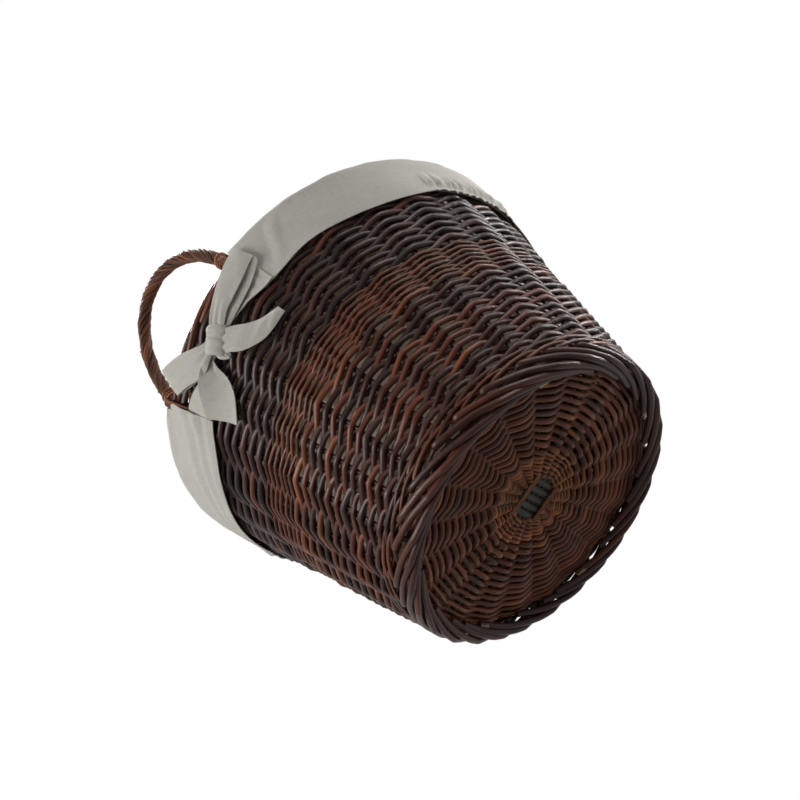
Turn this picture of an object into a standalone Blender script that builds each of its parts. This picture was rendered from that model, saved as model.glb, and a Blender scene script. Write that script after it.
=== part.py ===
"""Wicker log basket: a round willow basket with two rope handles and a tied cloth liner.

Metres, +Z up. The origin is on the floor at the centre of the foot border, and the
handles stand at -X and +X. Every rod band is one solid with real tunnels for the stakes
or the base sticks that run through it.
"""

import math

import bmesh
import bpy
from mathutils import Matrix, Vector

# ---------------------------------------------------------------- driving dimensions
GAP = 0.0003                    # clearance between touching pieces

FOOT_RADIUS = 0.180             # outer radius of the wall, carried down to the floor
RIM_RADIUS = 0.272              # outer radius of the wall at the top of the border
RIM_HEIGHT = 0.3585             # top of the rolled border
WALL_THICKNESS = 0.017          # two rods and a stake, measured level
WALL_SLOPE = (RIM_RADIUS - FOOT_RADIUS) / RIM_HEIGHT

STAKE_COUNT = 28
FIRST_STAKE_ANGLE = math.radians(4.53)
STAKE_HALF_WIDTH = 0.0042       # a stake and its bye-stake, side by side
STAKE_HALF_DEPTH = 0.0023
STAKE_SIDES = 6
STAKE_END_GAP = 0.0010          # a slanted stake's square end needs more than GAP

FOOT_BORDER_TOP = 0.0258
UPSETT_TOP = 0.0405
LOWER_BAND_TOP = 0.1660
FINE_BAND_TOP = 0.2090
UPPER_BAND_TOP = 0.3420
BORDER_THICKNESS = 0.0185
BORDER_ROUNDING = 0.0040

FOOT_INNER_RADIUS = 0.1585      # inside of the foot border, below the base
FOOT_LEDGE_RADIUS = 0.1685      # inside of the foot border, beside the base
FOOT_CHAMFER = 0.0045

BASE_BOTTOM = 0.0165
BASE_TOP = 0.0305
BASE_RADIUS = 0.1665
BASE_CENTRE_RADIUS = 0.0575     # where the fine rods end and the coarse ones begin
STICKS_PER_WAY = 5
STICK_TURN = math.radians(14.3)     # direction of the pierced sticks
STICK_FAN = math.radians(18.0)      # angle between neighbouring spokes
STICK_REACH = 0.1672
STICK_OVERRUN = 0.004           # how far a stick's tunnel runs on past its end
STICK_BEND_RADIUS = 0.034       # where the sticks start to fan out
PIERCED_RADIUS = 0.0042
PIERCED_SPACING = 0.0099
THROUGH_RADIUS = 0.0024
THROUGH_SPACING = 0.0055
SPOKE_RADIUS = 0.0036           # both kinds of stick, out in the weave
SLOT_LENGTH = 0.0290
SLOT_HEIGHT = 0.0056
WINDOW_LENGTH = 0.0380          # bare stick between the binding rods
WINDOW_WIDTH = 0.0500

HANDLE_HALF_WIDTH = 0.0870
HANDLE_FOOT_RADIUS = 0.2640     # distance of the handle's legs from the basket's axis
HANDLE_FOOT_HEIGHT = 0.3490
HANDLE_RISE = 0.1220
HANDLE_LEAN = math.radians(84.5)    # from level; 90 degrees would be upright
ROPE_RADIUS = 0.0068
LEG_RADIUS = 0.0026             # the pointed ends, down in the weave
LEG_BOTTOM = 0.2750
HANDLE_TIE_RADIUS = 0.0020
HANDLE_TIE_STAND_OFF = 0.0010   # clear of the rope, which bulges a little past the border
HANDLE_TIE_BOTTOM = 0.3120
HANDLE_TIE_SPREAD = math.radians(1.25)

CLOTH = 0.0015
BAG_CLEARANCE = 0.0012          # between the bag and the wall
CUFF_CLEARANCE = 0.0017         # between the wall and the cuff
CUFF_BOTTOM = 0.2860
NOTCH_HALF_ANGLE = math.radians(21.6)
NOTCH_BAG_TOP = 0.3330
ELASTIC_THICKNESS = 0.0007
ELASTIC_WIDTH = 0.0060
ELASTIC_FACETS = 6              # its length, in facets of the wall's rings

BOW_ANGLE = math.radians(3.4)   # the knot's place, past the middle of the handle
BOW_HEIGHT = 0.3074
BOW_STAND_OFF = 0.0062          # from the wall to the bow's inner face
BOW_THICKNESS = 0.0045
KNOT_SIZE = (0.0130, 0.0150, 0.0085)    # half sizes: across, up, out

RING_STEPS = 56                 # two facets for each stake
HANDLE_TURNS = (0.0, math.pi)   # the handle at -X, then its twin at +X

# ---------------------------------------------------------------- colours (linear RGB)
DARK_WILLOW = (0.045, 0.022, 0.017)
RED_WILLOW = (0.110, 0.034, 0.018)
PALE_WILLOW = (0.160, 0.075, 0.035)
STICK_WILLOW = (0.110, 0.085, 0.065)
LINEN = (0.560, 0.520, 0.450)
ELASTIC_WHITE = (0.750, 0.740, 0.700)


# ---------------------------------------------------------------- scene helpers
def clear_scene():
    for obj in list(bpy.data.objects):
        bpy.data.objects.remove(obj, do_unlink=True)


def make_collection(name):
    collection = bpy.data.collections.new(name)
    bpy.context.scene.collection.children.link(collection)
    return collection


def make_material(name, colour, roughness):
    material = bpy.data.materials.new(name)
    material.use_nodes = True
    shader = material.node_tree.nodes["Principled BSDF"]
    shader.inputs["Base Color"].default_value = (*colour, 1.0)
    shader.inputs["Roughness"].default_value = roughness
    shader.inputs["Metallic"].default_value = 0.0
    material.diffuse_color = (*colour, 1.0)
    return material


def add_object(name, data, collection, material=None):
    obj = bpy.data.objects.new(name, data)
    collection.objects.link(obj)
    if material is not None:
        data.materials.append(material)
    return obj


def add_cutter(name, data, collection):
    cutter = add_object(name, data, collection)
    cutter.hide_render = True
    cutter.display_type = "WIRE"
    return cutter


def mesh_from_bmesh(name, work):
    bmesh.ops.recalc_face_normals(work, faces=work.faces)
    mesh = bpy.data.meshes.new(name)
    work.to_mesh(mesh)
    work.free()
    return mesh


def cut(obj, cutter, operation="DIFFERENCE"):
    boolean = obj.modifiers.new(cutter.name, "BOOLEAN")
    boolean.operation = operation
    boolean.solver = "EXACT"
    boolean.object = cutter


def shade_smooth(obj, angle=math.radians(40)):
    obj.data.shade_smooth()
    obj.data.set_sharp_from_angle(angle=angle)


# ---------------------------------------------------------------- shape helpers
def wall_outer(z):
    """Outer radius of the wall at height z."""
    return FOOT_RADIUS + WALL_SLOPE * z


def wall_inner(z):
    return wall_outer(z) - WALL_THICKNESS


def wall_middle(z):
    return wall_outer(z) - WALL_THICKNESS / 2


def turned(name, profile, collection, material, closed=True):
    """Turn a profile of (radius, height) points, listed top to bottom on the outer side."""
    mesh = bpy.data.meshes.new(name)
    edges = [(i, i + 1) for i in range(len(profile) - 1)]
    if closed:
        edges.append((len(profile) - 1, 0))
    mesh.from_pydata([(r, 0.0, z) for r, z in profile], edges, [])
    obj = add_object(name, mesh, collection, material)
    screw = obj.modifiers.new("turn", "SCREW")
    screw.axis = "Z"
    screw.angle = 2 * math.pi
    screw.steps = RING_STEPS
    screw.render_steps = RING_STEPS
    screw.use_merge_vertices = True
    screw.merge_threshold = 0.00001
    screw.use_smooth_shade = True
    obj.rotation_euler.z = FIRST_STAKE_ANGLE
    return obj


def sector(name, profile, middle_angle, half_angle, steps):
    """A closed piece of a turned shape, between middle_angle - half_angle and + half_angle."""
    work = bmesh.new()
    face = work.faces.new([work.verts.new((r, 0.0, z)) for r, z in profile])
    start = middle_angle - half_angle
    bmesh.ops.rotate(work, verts=work.verts, cent=(0, 0, 0), matrix=Matrix.Rotation(start, 3, "Z"))
    bmesh.ops.spin(work, geom=[face, *face.edges, *face.verts], cent=(0, 0, 0), axis=(0, 0, 1),
                   angle=2 * half_angle, steps=steps, use_duplicate=False)
    return mesh_from_bmesh(name, work)


def tube(name, points, collection, radii):
    """A POLY curve with filled caps; radii gives the radius at each point."""
    thickest = max(radii)
    curve = bpy.data.curves.new(name, "CURVE")
    curve.dimensions = "3D"
    curve.bevel_depth = thickest
    curve.bevel_resolution = 1
    curve.use_fill_caps = True
    spline = curve.splines.new("POLY")
    spline.points.add(len(points) - 1)
    for point, place, radius in zip(spline.points, points, radii):
        point.co = (*place, 1.0)
        point.radius = radius / thickest
    return add_object(name, curve, collection)


def curve_to_mesh_object(curve_object, collection, material=None):
    """Swap a curve for a closed mesh with its caps welded on."""
    name = curve_object.name
    depsgraph = bpy.context.evaluated_depsgraph_get()
    mesh = bpy.data.meshes.new_from_object(curve_object.evaluated_get(depsgraph))
    work = bmesh.new()
    work.from_mesh(mesh)
    bmesh.ops.remove_doubles(work, verts=work.verts, dist=0.00001)
    bmesh.ops.recalc_face_normals(work, faces=work.faces)
    work.to_mesh(mesh)
    work.free()
    place = curve_object.matrix_world.copy()
    bpy.data.objects.remove(curve_object, do_unlink=True)
    mesh.materials.clear()
    obj = add_object(name, mesh, collection, material)
    obj.matrix_world = place
    return obj


def join_meshes(name, objects):
    """One mesh that holds several closed cutters."""
    work = bmesh.new()
    for obj in objects:
        first = len(work.verts)
        work.from_mesh(obj.data)
        work.verts.ensure_lookup_table()
        bmesh.ops.transform(work, matrix=obj.matrix_world, verts=work.verts[first:])
        bpy.data.objects.remove(obj, do_unlink=True)
    return mesh_from_bmesh(name, work)


# ---------------------------------------------------------------- stakes
def stake_mesh(name, bottom, top, grow=0.0):
    """A flat six-sided bar along +Z, as long as the slanted stake from bottom to top."""
    length = math.hypot(top - bottom, WALL_SLOPE * (top - bottom)) + 2 * grow
    work = bmesh.new()
    bmesh.ops.create_cone(work, cap_ends=True, segments=STAKE_SIDES, radius1=1.0, radius2=1.0,
                          depth=length)
    bmesh.ops.scale(work, vec=(STAKE_HALF_DEPTH + grow, STAKE_HALF_WIDTH + grow, 1.0), verts=work.verts)
    return mesh_from_bmesh(name, work)


def stake_place(angle, bottom, top):
    """Where a stake stands: half way up the wall's slanted middle surface."""
    middle = (bottom + top) / 2
    lean = Matrix.Rotation(math.atan(WALL_SLOPE), 4, "Y")
    shift = Matrix.Translation((wall_middle(middle), 0.0, middle))
    return Matrix.Rotation(angle, 4, "Z") @ shift @ lean


def stake_angles():
    return [FIRST_STAKE_ANGLE + 2 * math.pi * i / STAKE_COUNT for i in range(STAKE_COUNT)]


def make_stakes(collection, material):
    bottom = FOOT_BORDER_TOP + STAKE_END_GAP
    top = UPPER_BAND_TOP - STAKE_END_GAP
    mesh = stake_mesh("stake", bottom, top)
    mesh.materials.append(material)
    for number, angle in enumerate(stake_angles(), start=1):
        stake = add_object(f"stake_{number:02d}", mesh, collection)
        stake.matrix_world = stake_place(angle, bottom, top)


def make_stake_cutter(cutters):
    bottom = FOOT_BORDER_TOP - STAKE_END_GAP
    top = UPPER_BAND_TOP + STAKE_END_GAP
    mesh = stake_mesh("stake_tunnel", bottom, top, grow=GAP)
    tunnels = []
    for angle in stake_angles():
        tunnel = add_object("stake_tunnel", mesh, cutters)
        tunnel.matrix_world = stake_place(angle, bottom, top)
        tunnels.append(tunnel)
    bpy.context.view_layer.update()
    return add_cutter("stake_tunnels", join_meshes("stake_tunnels", tunnels), cutters)


# ---------------------------------------------------------------- woven wall
def make_wall_band(name, bottom, top, collection, material, stake_cutter):
    low = bottom + GAP / 2
    high = top - GAP / 2
    profile = [(wall_outer(high), high), (wall_outer(low), low), (wall_inner(low), low), (wall_inner(high), high)]
    band = turned(name, profile, collection, material)
    cut(band, stake_cutter)
    return band


def make_top_border(collection, material):
    low = UPPER_BAND_TOP + GAP / 2
    high = RIM_HEIGHT
    inner_low = wall_outer(low) - BORDER_THICKNESS
    inner_high = wall_outer(high) - BORDER_THICKNESS
    profile = [
        (inner_high + BORDER_ROUNDING, high),
        (wall_outer(high) - BORDER_ROUNDING, high),
        (wall_outer(high), high - BORDER_ROUNDING),
        (wall_outer(low), low),
        (inner_low, low),
        (inner_high, high - BORDER_ROUNDING),
    ]
    return turned("top_border", profile, collection, material)


def make_foot_border(collection, material):
    high = FOOT_BORDER_TOP
    ledge = BASE_BOTTOM - GAP
    profile = [
        (wall_outer(high), high),
        (wall_outer(FOOT_CHAMFER), FOOT_CHAMFER),
        (FOOT_RADIUS - FOOT_CHAMFER, 0.0),
        (FOOT_INNER_RADIUS + FOOT_CHAMFER, 0.0),
        (FOOT_INNER_RADIUS, FOOT_CHAMFER),
        (FOOT_INNER_RADIUS, ledge),
        (FOOT_LEDGE_RADIUS, ledge),
        (FOOT_LEDGE_RADIUS, high),
    ]
    return turned("foot_border", profile, collection, material)


# ---------------------------------------------------------------- base
def stick_points(index, spacing, turn):
    """A base stick: straight across the slath, then fanned out to its place on the edge."""
    middle = (BASE_BOTTOM + BASE_TOP) / 2
    offset = (index - (STICKS_PER_WAY - 1) / 2)
    points = []
    for end in (-1, 1):
        outer_angle = offset * STICK_FAN
        outer = Vector((math.cos(outer_angle) * STICK_REACH, math.sin(outer_angle) * STICK_REACH, middle))
        bend = Vector((math.sqrt(STICK_BEND_RADIUS ** 2 - (offset * spacing) ** 2), offset * spacing, middle))
        outer.x *= end
        bend.x *= end
        points += [outer, bend] if end < 0 else [bend, outer]
    rotation = Matrix.Rotation(turn, 3, "Z")
    return [rotation @ point for point in points]


def lengthened(points, extra):
    """The same run of points with both ends carried on along their own direction."""
    first = points[0] + (points[0] - points[1]).normalized() * extra
    last = points[-1] + (points[-1] - points[-2]).normalized() * extra
    return [first, *points[1:-1], last]


def make_sticks(collection, cutters, material):
    """Five pierced sticks, five through sticks, and one cutter for all their tunnels."""
    slot = bmesh.new()
    bmesh.ops.create_cube(slot, size=1.0)
    bmesh.ops.scale(slot, vec=(SLOT_LENGTH, 2 * WINDOW_WIDTH, SLOT_HEIGHT), verts=slot.verts)
    slot_cutter = add_cutter("slit_in_sticks", mesh_from_bmesh("slit_in_sticks", slot), cutters)
    slot_cutter.location.z = (BASE_BOTTOM + BASE_TOP) / 2
    slot_cutter.rotation_euler.z = STICK_TURN

    ways = [
        ("pierced_stick", PIERCED_SPACING, STICK_TURN, PIERCED_RADIUS),
        ("through_stick", THROUGH_SPACING, STICK_TURN + math.pi / 2, THROUGH_RADIUS),
    ]
    tunnels = []
    for label, spacing, turn, radius in ways:
        for index in range(STICKS_PER_WAY):
            points = stick_points(index, spacing, turn)
            radii = [SPOKE_RADIUS, radius, radius, SPOKE_RADIUS]
            curve = tube(f"{label}_{index + 1}", points, collection, radii)
            stick = curve_to_mesh_object(curve, collection, material)
            shade_smooth(stick)
            if label == "pierced_stick":
                cut(stick, slot_cutter)
            curve = tube("stick_tunnel", lengthened(points, STICK_OVERRUN), cutters, [r + GAP for r in radii])
            tunnels.append(curve_to_mesh_object(curve, cutters))
    bpy.context.view_layer.update()
    return tunnels


def make_base_weave(collection, cutters, centre_material, outer_material, tunnels):
    window = bmesh.new()
    bmesh.ops.create_cube(window, size=1.0)
    bmesh.ops.scale(window, vec=(WINDOW_LENGTH, WINDOW_WIDTH, 2 * (BASE_TOP - BASE_BOTTOM)), verts=window.verts)
    window_cutter = add_cutter("slath_window", mesh_from_bmesh("slath_window", window), cutters)
    window_cutter.location.z = (BASE_BOTTOM + BASE_TOP) / 2
    window_cutter.rotation_euler.z = STICK_TURN

    centre_work = bmesh.new()
    bmesh.ops.create_cone(centre_work, cap_ends=True, segments=40, radius1=BASE_CENTRE_RADIUS - GAP,
                          radius2=BASE_CENTRE_RADIUS - GAP, depth=BASE_TOP - BASE_BOTTOM)
    centre = add_object("base_weave_centre", mesh_from_bmesh("base_weave_centre", centre_work), collection,
                        centre_material)
    centre.location.z = (BASE_BOTTOM + BASE_TOP) / 2
    cut(centre, window_cutter)

    profile = [(BASE_RADIUS, BASE_TOP), (BASE_RADIUS, BASE_BOTTOM), (BASE_CENTRE_RADIUS, BASE_BOTTOM),
               (BASE_CENTRE_RADIUS, BASE_TOP)]
    outer = turned("base_weave_outer", profile, collection, outer_material)
    for number, tunnel in enumerate(tunnels, start=1):
        cutter = add_cutter(f"stick_tunnel_{number}", tunnel.data, cutters)
        bpy.data.objects.remove(tunnel, do_unlink=True)
        cut(centre, cutter)
        cut(outer, cutter)


# ---------------------------------------------------------------- handles
def handle_points():
    """The centre line of the handle at -X: leg, half ellipse, leg."""
    foot_x = -math.sqrt(HANDLE_FOOT_RADIUS ** 2 - HANDLE_HALF_WIDTH ** 2)
    arch = []
    arch_steps = 16
    for step in range(arch_steps + 1):
        turn = math.pi * step / arch_steps
        rise = HANDLE_RISE * math.sin(turn)
        arch.append(Vector((foot_x - rise * math.cos(HANDLE_LEAN), HANDLE_HALF_WIDTH * math.cos(turn),
                            HANDLE_FOOT_HEIGHT + rise * math.sin(HANDLE_LEAN))))

    def leg(side):
        leg_angle = math.asin(HANDLE_HALF_WIDTH / HANDLE_FOOT_RADIUS)
        places = []
        for height in (LEG_BOTTOM, UPPER_BAND_TOP - 0.004, UPPER_BAND_TOP + 0.002):
            radius = wall_middle(height)
            places.append(Vector((-radius * math.cos(leg_angle), side * radius * math.sin(leg_angle), height)))
        return places

    return leg(1) + arch + leg(-1)[::-1]


def handle_radii(grow=0.0):
    point_count = len(handle_points())
    ends = [LEG_RADIUS * 0.7, LEG_RADIUS, LEG_RADIUS * 1.6]
    middle = [ROPE_RADIUS] * (point_count - 2 * len(ends))
    return [radius + grow for radius in ends + middle + ends[::-1]]


def make_handles(collection, cutters, material):
    """Both rope handles, and one cutter with the room that their legs need."""
    rooms = []
    for label, turn in zip(("left", "right"), HANDLE_TURNS):
        rotation = Matrix.Rotation(turn, 3, "Z")
        points = [rotation @ point for point in handle_points()]
        curve = tube(f"rope_handle_{label}", points, collection, handle_radii())
        handle = curve_to_mesh_object(curve, collection, material)
        shade_smooth(handle, math.radians(60))
        curve = tube("leg_room", points, cutters, handle_radii(GAP))
        rooms.append(curve_to_mesh_object(curve, cutters))
    bpy.context.view_layer.update()
    return add_cutter("leg_rooms", join_meshes("leg_rooms", rooms), cutters)


def make_handle_ties(collection, material):
    """A thin rod bent in a V over each handle leg, with its two ends down on the wall."""
    leg_angle = math.asin(HANDLE_HALF_WIDTH / HANDLE_FOOT_RADIUS)
    stand_off = HANDLE_TIE_RADIUS + HANDLE_TIE_STAND_OFF
    top = RIM_HEIGHT - BORDER_ROUNDING
    for label, turn in zip(("left", "right"), HANDLE_TURNS):
        for number, side in enumerate((1, -1), start=1):
            middle = math.pi + turn + side * leg_angle
            points = []
            for share, spread in ((0.0, -1.0), (0.5, -0.62), (0.9, -0.28), (1.0, 0.0), (0.9, 0.28), (0.5, 0.62),
                                  (0.0, 1.0)):
                height = HANDLE_TIE_BOTTOM + share * (top - HANDLE_TIE_BOTTOM)
                radius = wall_outer(height) + stand_off
                angle = middle + spread * HANDLE_TIE_SPREAD
                points.append(Vector((radius * math.cos(angle), radius * math.sin(angle), height)))
            radii = [HANDLE_TIE_RADIUS] * len(points)
            curve = tube(f"handle_tie_{label}_{number}", points, collection, radii)
            tie = curve_to_mesh_object(curve, collection, material)
            shade_smooth(tie, math.radians(60))


# ---------------------------------------------------------------- liner
def make_liner(collection, cutters, material):
    """Bag, fold over the border and outside cuff, as one cloth with a notch for each handle."""
    floor = BASE_TOP + GAP
    bag_low = floor + 0.006
    border_inner = wall_outer(UPPER_BAND_TOP) - BORDER_THICKNESS
    fold_top = RIM_HEIGHT + GAP
    profile = [
        (wall_outer(CUFF_BOTTOM) + CUFF_CLEARANCE, CUFF_BOTTOM),
        (wall_outer(RIM_HEIGHT - BORDER_ROUNDING) + CUFF_CLEARANCE, RIM_HEIGHT - BORDER_ROUNDING),
        (wall_outer(RIM_HEIGHT) - BORDER_ROUNDING + CUFF_CLEARANCE * 0.7, fold_top + CUFF_CLEARANCE * 0.4),
        (wall_outer(RIM_HEIGHT) - BORDER_THICKNESS + BORDER_ROUNDING - GAP, fold_top + GAP),
        (wall_outer(RIM_HEIGHT) - BORDER_THICKNESS - 0.001, RIM_HEIGHT - BORDER_ROUNDING),
        (border_inner - BAG_CLEARANCE, UPPER_BAND_TOP),
        (wall_inner(0.200) - BAG_CLEARANCE, 0.200),
        (wall_inner(bag_low) - BAG_CLEARANCE, bag_low),
        (wall_inner(bag_low) - BAG_CLEARANCE - 0.006, floor),
        (0.0, floor),
    ]
    liner = turned("cloth_liner", profile[::-1], collection, material, closed=False)
    shell = liner.modifiers.new("cloth", "SOLIDIFY")
    shell.thickness = CLOTH
    shell.offset = 1.0
    shell.use_even_offset = True

    notch = [
        (0.330, 0.420), (0.330, CUFF_BOTTOM - 0.020), (wall_middle(CUFF_BOTTOM - 0.020), CUFF_BOTTOM - 0.020),
        (wall_middle(NOTCH_BAG_TOP), NOTCH_BAG_TOP), (0.220, NOTCH_BAG_TOP), (0.220, 0.420),
    ]
    for label, turn in zip(("left", "right"), HANDLE_TURNS):
        mesh = sector(f"notch_{label}", notch, math.pi + turn, NOTCH_HALF_ANGLE, 6)
        cut(liner, add_cutter(f"notch_{label}", mesh, cutters))


def make_elastics(collection, material):
    """A flat elastic in the cuff's hem, half way between the handles on each side."""
    inner = CUFF_CLEARANCE - GAP - ELASTIC_THICKNESS
    outer = CUFF_CLEARANCE - GAP
    low = CUFF_BOTTOM + 0.002
    high = low + ELASTIC_WIDTH
    profile = [
        (wall_outer(high) + outer, high), (wall_outer(low) + outer, low),
        (wall_outer(low) + inner, low), (wall_outer(high) + inner, high),
    ]
    facet = 2 * math.pi / RING_STEPS
    for label, angle in (("front", -math.pi / 2), ("back", math.pi / 2)):
        facets_to_middle = round((angle - FIRST_STAKE_ANGLE) / facet)
        middle = FIRST_STAKE_ANGLE + facets_to_middle * facet
        half_angle = ELASTIC_FACETS / 2 * facet
        mesh = sector(f"cuff_elastic_{label}", profile, middle, half_angle, ELASTIC_FACETS)
        add_object(f"cuff_elastic_{label}", mesh, collection, material)


BOW_OUTLINE = [     # across and up from the knot, in metres: loops, tails and the straps to the cuff
    (0.006, 0.013), (0.040, 0.030), (0.078, 0.040), (0.104, 0.034), (0.108, 0.016), (0.084, 0.002),
    (0.090, -0.008), (0.086, -0.027), (0.050, -0.018), (0.066, -0.044), (0.050, -0.060), (0.030, -0.046),
    (0.010, -0.012), (-0.008, -0.012), (-0.030, -0.056), (-0.072, -0.068), (-0.078, -0.034), (-0.050, -0.016),
    (-0.092, -0.026), (-0.097, -0.008), (-0.060, 0.010), (-0.092, 0.036), (-0.070, 0.062), (-0.030, 0.040),
    (-0.008, 0.013),
]


def bow_mesh(name):
    """The bow's outline as a plate that is bent round the wall."""
    work = bmesh.new()
    face = work.faces.new([work.verts.new((across, up, 0.0)) for across, up in BOW_OUTLINE])
    extruded = bmesh.ops.extrude_face_region(work, geom=[face])
    moved = [item for item in extruded["geom"] if isinstance(item, bmesh.types.BMVert)]
    bmesh.ops.translate(work, verts=moved, vec=(0.0, 0.0, BOW_THICKNESS))
    step = 0.012
    for index in range(-8, 10):
        geometry = [*work.verts, *work.edges, *work.faces]
        bmesh.ops.bisect_plane(work, geom=geometry, plane_co=(index * step, 0, 0), plane_no=(1, 0, 0))
    bmesh.ops.triangulate(work, faces=work.faces)
    slant = math.atan(WALL_SLOPE)
    for vert in work.verts:
        across, up, out = vert.co
        height = BOW_HEIGHT + up * math.cos(slant)
        radius = wall_outer(height) + BOW_STAND_OFF + out
        angle = math.pi + BOW_ANGLE + across / wall_outer(BOW_HEIGHT)
        vert.co = (radius * math.cos(angle), radius * math.sin(angle), height)
    return mesh_from_bmesh(name, work)


def make_bows(collection, cutters, material):
    """A tie bow below each handle: bent plate with a rounded knot joined on."""
    for label, turn in zip(("left", "right"), HANDLE_TURNS):
        knot = bmesh.new()
        bmesh.ops.create_uvsphere(knot, u_segments=12, v_segments=8, radius=1.0)
        bmesh.ops.scale(knot, vec=(KNOT_SIZE[2], KNOT_SIZE[0], KNOT_SIZE[1]), verts=knot.verts)
        knot_object = add_cutter(f"bow_knot_{label}", mesh_from_bmesh(f"bow_knot_{label}", knot), cutters)
        radius = wall_outer(BOW_HEIGHT) + BOW_STAND_OFF + KNOT_SIZE[2] * 0.97
        place = Matrix.Translation((radius, 0.0, BOW_HEIGHT))
        knot_object.matrix_world = Matrix.Rotation(math.pi + turn + BOW_ANGLE, 4, "Z") @ place
        bow = add_object(f"tie_bow_{label}", bow_mesh(f"tie_bow_{label}"), collection, material)
        bow.rotation_euler.z = turn
        cut(bow, knot_object, "UNION")


# ---------------------------------------------------------------- the basket
def build():
    clear_scene()
    basket = make_collection("wicker_log_basket")
    cutters = make_collection("cutters")

    dark = make_material("dark_willow", DARK_WILLOW, 0.55)
    red = make_material("red_willow", RED_WILLOW, 0.50)
    handle_willow = make_material("handle_willow", PALE_WILLOW, 0.50)
    stick_willow = make_material("stick_willow", STICK_WILLOW, 0.60)
    linen = make_material("linen", LINEN, 0.90)
    elastic = make_material("elastic", ELASTIC_WHITE, 0.80)

    tunnels = make_sticks(basket, cutters, stick_willow)
    make_base_weave(basket, cutters, red, dark, tunnels)

    make_stakes(basket, dark)
    stake_cutter = make_stake_cutter(cutters)
    leg_cutter = make_handles(basket, cutters, handle_willow)
    make_foot_border(basket, dark)
    make_wall_band("upsett_waling", FOOT_BORDER_TOP, UPSETT_TOP, basket, red, stake_cutter)
    make_wall_band("lower_pairing", UPSETT_TOP, LOWER_BAND_TOP, basket, dark, stake_cutter)
    make_wall_band("fine_pairing", LOWER_BAND_TOP, FINE_BAND_TOP, basket, red, stake_cutter)
    upper = make_wall_band("upper_pairing", FINE_BAND_TOP, UPPER_BAND_TOP, basket, dark, stake_cutter)
    cut(upper, leg_cutter)
    border = make_top_border(basket, dark)
    cut(border, leg_cutter)
    make_handle_ties(basket, handle_willow)

    make_liner(basket, cutters, linen)
    make_elastics(basket, elastic)
    make_bows(basket, cutters, linen)


build()
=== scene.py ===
"""Wicker log basket: every willow rod as a real swept rod, with a linen liner, its cuff and bows.

Metres, +Z up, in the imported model's frame: the foot stands on the floor at the origin and
the handles are at -X and +X.
"""

import math

import bpy
import numpy as np
from mathutils import Euler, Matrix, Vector


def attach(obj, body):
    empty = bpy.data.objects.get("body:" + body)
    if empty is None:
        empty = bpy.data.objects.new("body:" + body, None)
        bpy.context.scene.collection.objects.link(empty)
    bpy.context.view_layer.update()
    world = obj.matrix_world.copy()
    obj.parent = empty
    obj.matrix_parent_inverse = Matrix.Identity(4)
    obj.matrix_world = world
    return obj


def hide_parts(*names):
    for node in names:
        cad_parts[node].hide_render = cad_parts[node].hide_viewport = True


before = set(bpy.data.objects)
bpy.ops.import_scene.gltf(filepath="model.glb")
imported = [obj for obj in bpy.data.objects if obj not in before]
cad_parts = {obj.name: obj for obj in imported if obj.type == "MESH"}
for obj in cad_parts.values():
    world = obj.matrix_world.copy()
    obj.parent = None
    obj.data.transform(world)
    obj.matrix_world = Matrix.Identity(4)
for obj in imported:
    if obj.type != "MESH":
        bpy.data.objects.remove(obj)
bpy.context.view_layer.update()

# -------- sizes shared with the CAD model
FOOT_RADIUS = 0.180
RIM_RADIUS = 0.272
RIM_HEIGHT = 0.3585
WALL_SLOPE = (RIM_RADIUS - FOOT_RADIUS) / RIM_HEIGHT
WALL_MIDDLE_DEPTH = 0.0085      # from the wall's outside to the stakes' centre line
STAKE_COUNT = 28
FIRST_STAKE_ANGLE = math.radians(4.53)
STAKE_STEP = 2 * math.pi / STAKE_COUNT

SPOKE_COUNT = 20
STICK_TURN = math.radians(14.3)
BASE_MIDDLE = 0.0235

HANDLE_HALF_WIDTH = 0.0870
HANDLE_FOOT_RADIUS = 0.2640
HANDLE_FOOT_HEIGHT = 0.3490
HANDLE_RISE = 0.1220
HANDLE_LEAN = math.radians(84.5)
HANDLE_LEG_ANGLE = math.asin(HANDLE_HALF_WIDTH / HANDLE_FOOT_RADIUS)
DOWN = np.array([0.0, 0.0, -1.0])
SIDES = {"left": math.pi, "right": 0.0}     # the handle at -X, then its twin at +X

LINER_THICKNESS = 0.0012
RIBBON_THICKNESS = 0.0013

BOW_ANGLE = math.radians(3.4)
BOW_HEIGHT = 0.3074


def wall_outer(z):
    return FOOT_RADIUS + WALL_SLOPE * z


def wall_middle(z):
    return wall_outer(z) - WALL_MIDDLE_DEPTH


# -------- small maths
def cylinder(radius, angle, z):
    """Points from cylindrical coordinates, as an (n, 3) array."""
    radius, angle, z = np.broadcast_arrays(radius, angle, z)
    return np.stack([radius * np.cos(angle), radius * np.sin(angle), z], axis=-1)


def unit(vectors):
    return vectors / np.maximum(np.linalg.norm(vectors, axis=-1, keepdims=True), 1e-12)


def outward(path):
    """The level direction from the basket's axis to each point."""
    return unit(path * np.array([1.0, 1.0, 0.0]))


def turned(points, angle):
    """The points turned about the basket's axis."""
    cosine, sine = math.cos(angle), math.sin(angle)
    x, y, z = points.T
    return np.stack([x * cosine - y * sine, x * sine + y * cosine, z], axis=1)


def eased(share):
    """A share from 0 to 1 with a soft start and end."""
    return share * share * (3 - 2 * share)


def smooth_noise(rng, count, knots):
    """A wandering value from -1 to 1 that closes on itself."""
    values = rng.uniform(-1.0, 1.0, knots)
    place = np.arange(count) / count * knots
    low = place.astype(int)
    share = eased(place - low)
    return values[low % knots] * (1 - share) + values[(low + 1) % knots] * share


def sharpened(phase):
    """A sine with its bends drawn tighter, as a stiff rod bends round a stake."""
    return (np.sin(phase) - 0.09 * np.sin(3 * phase)) / 1.09


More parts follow.
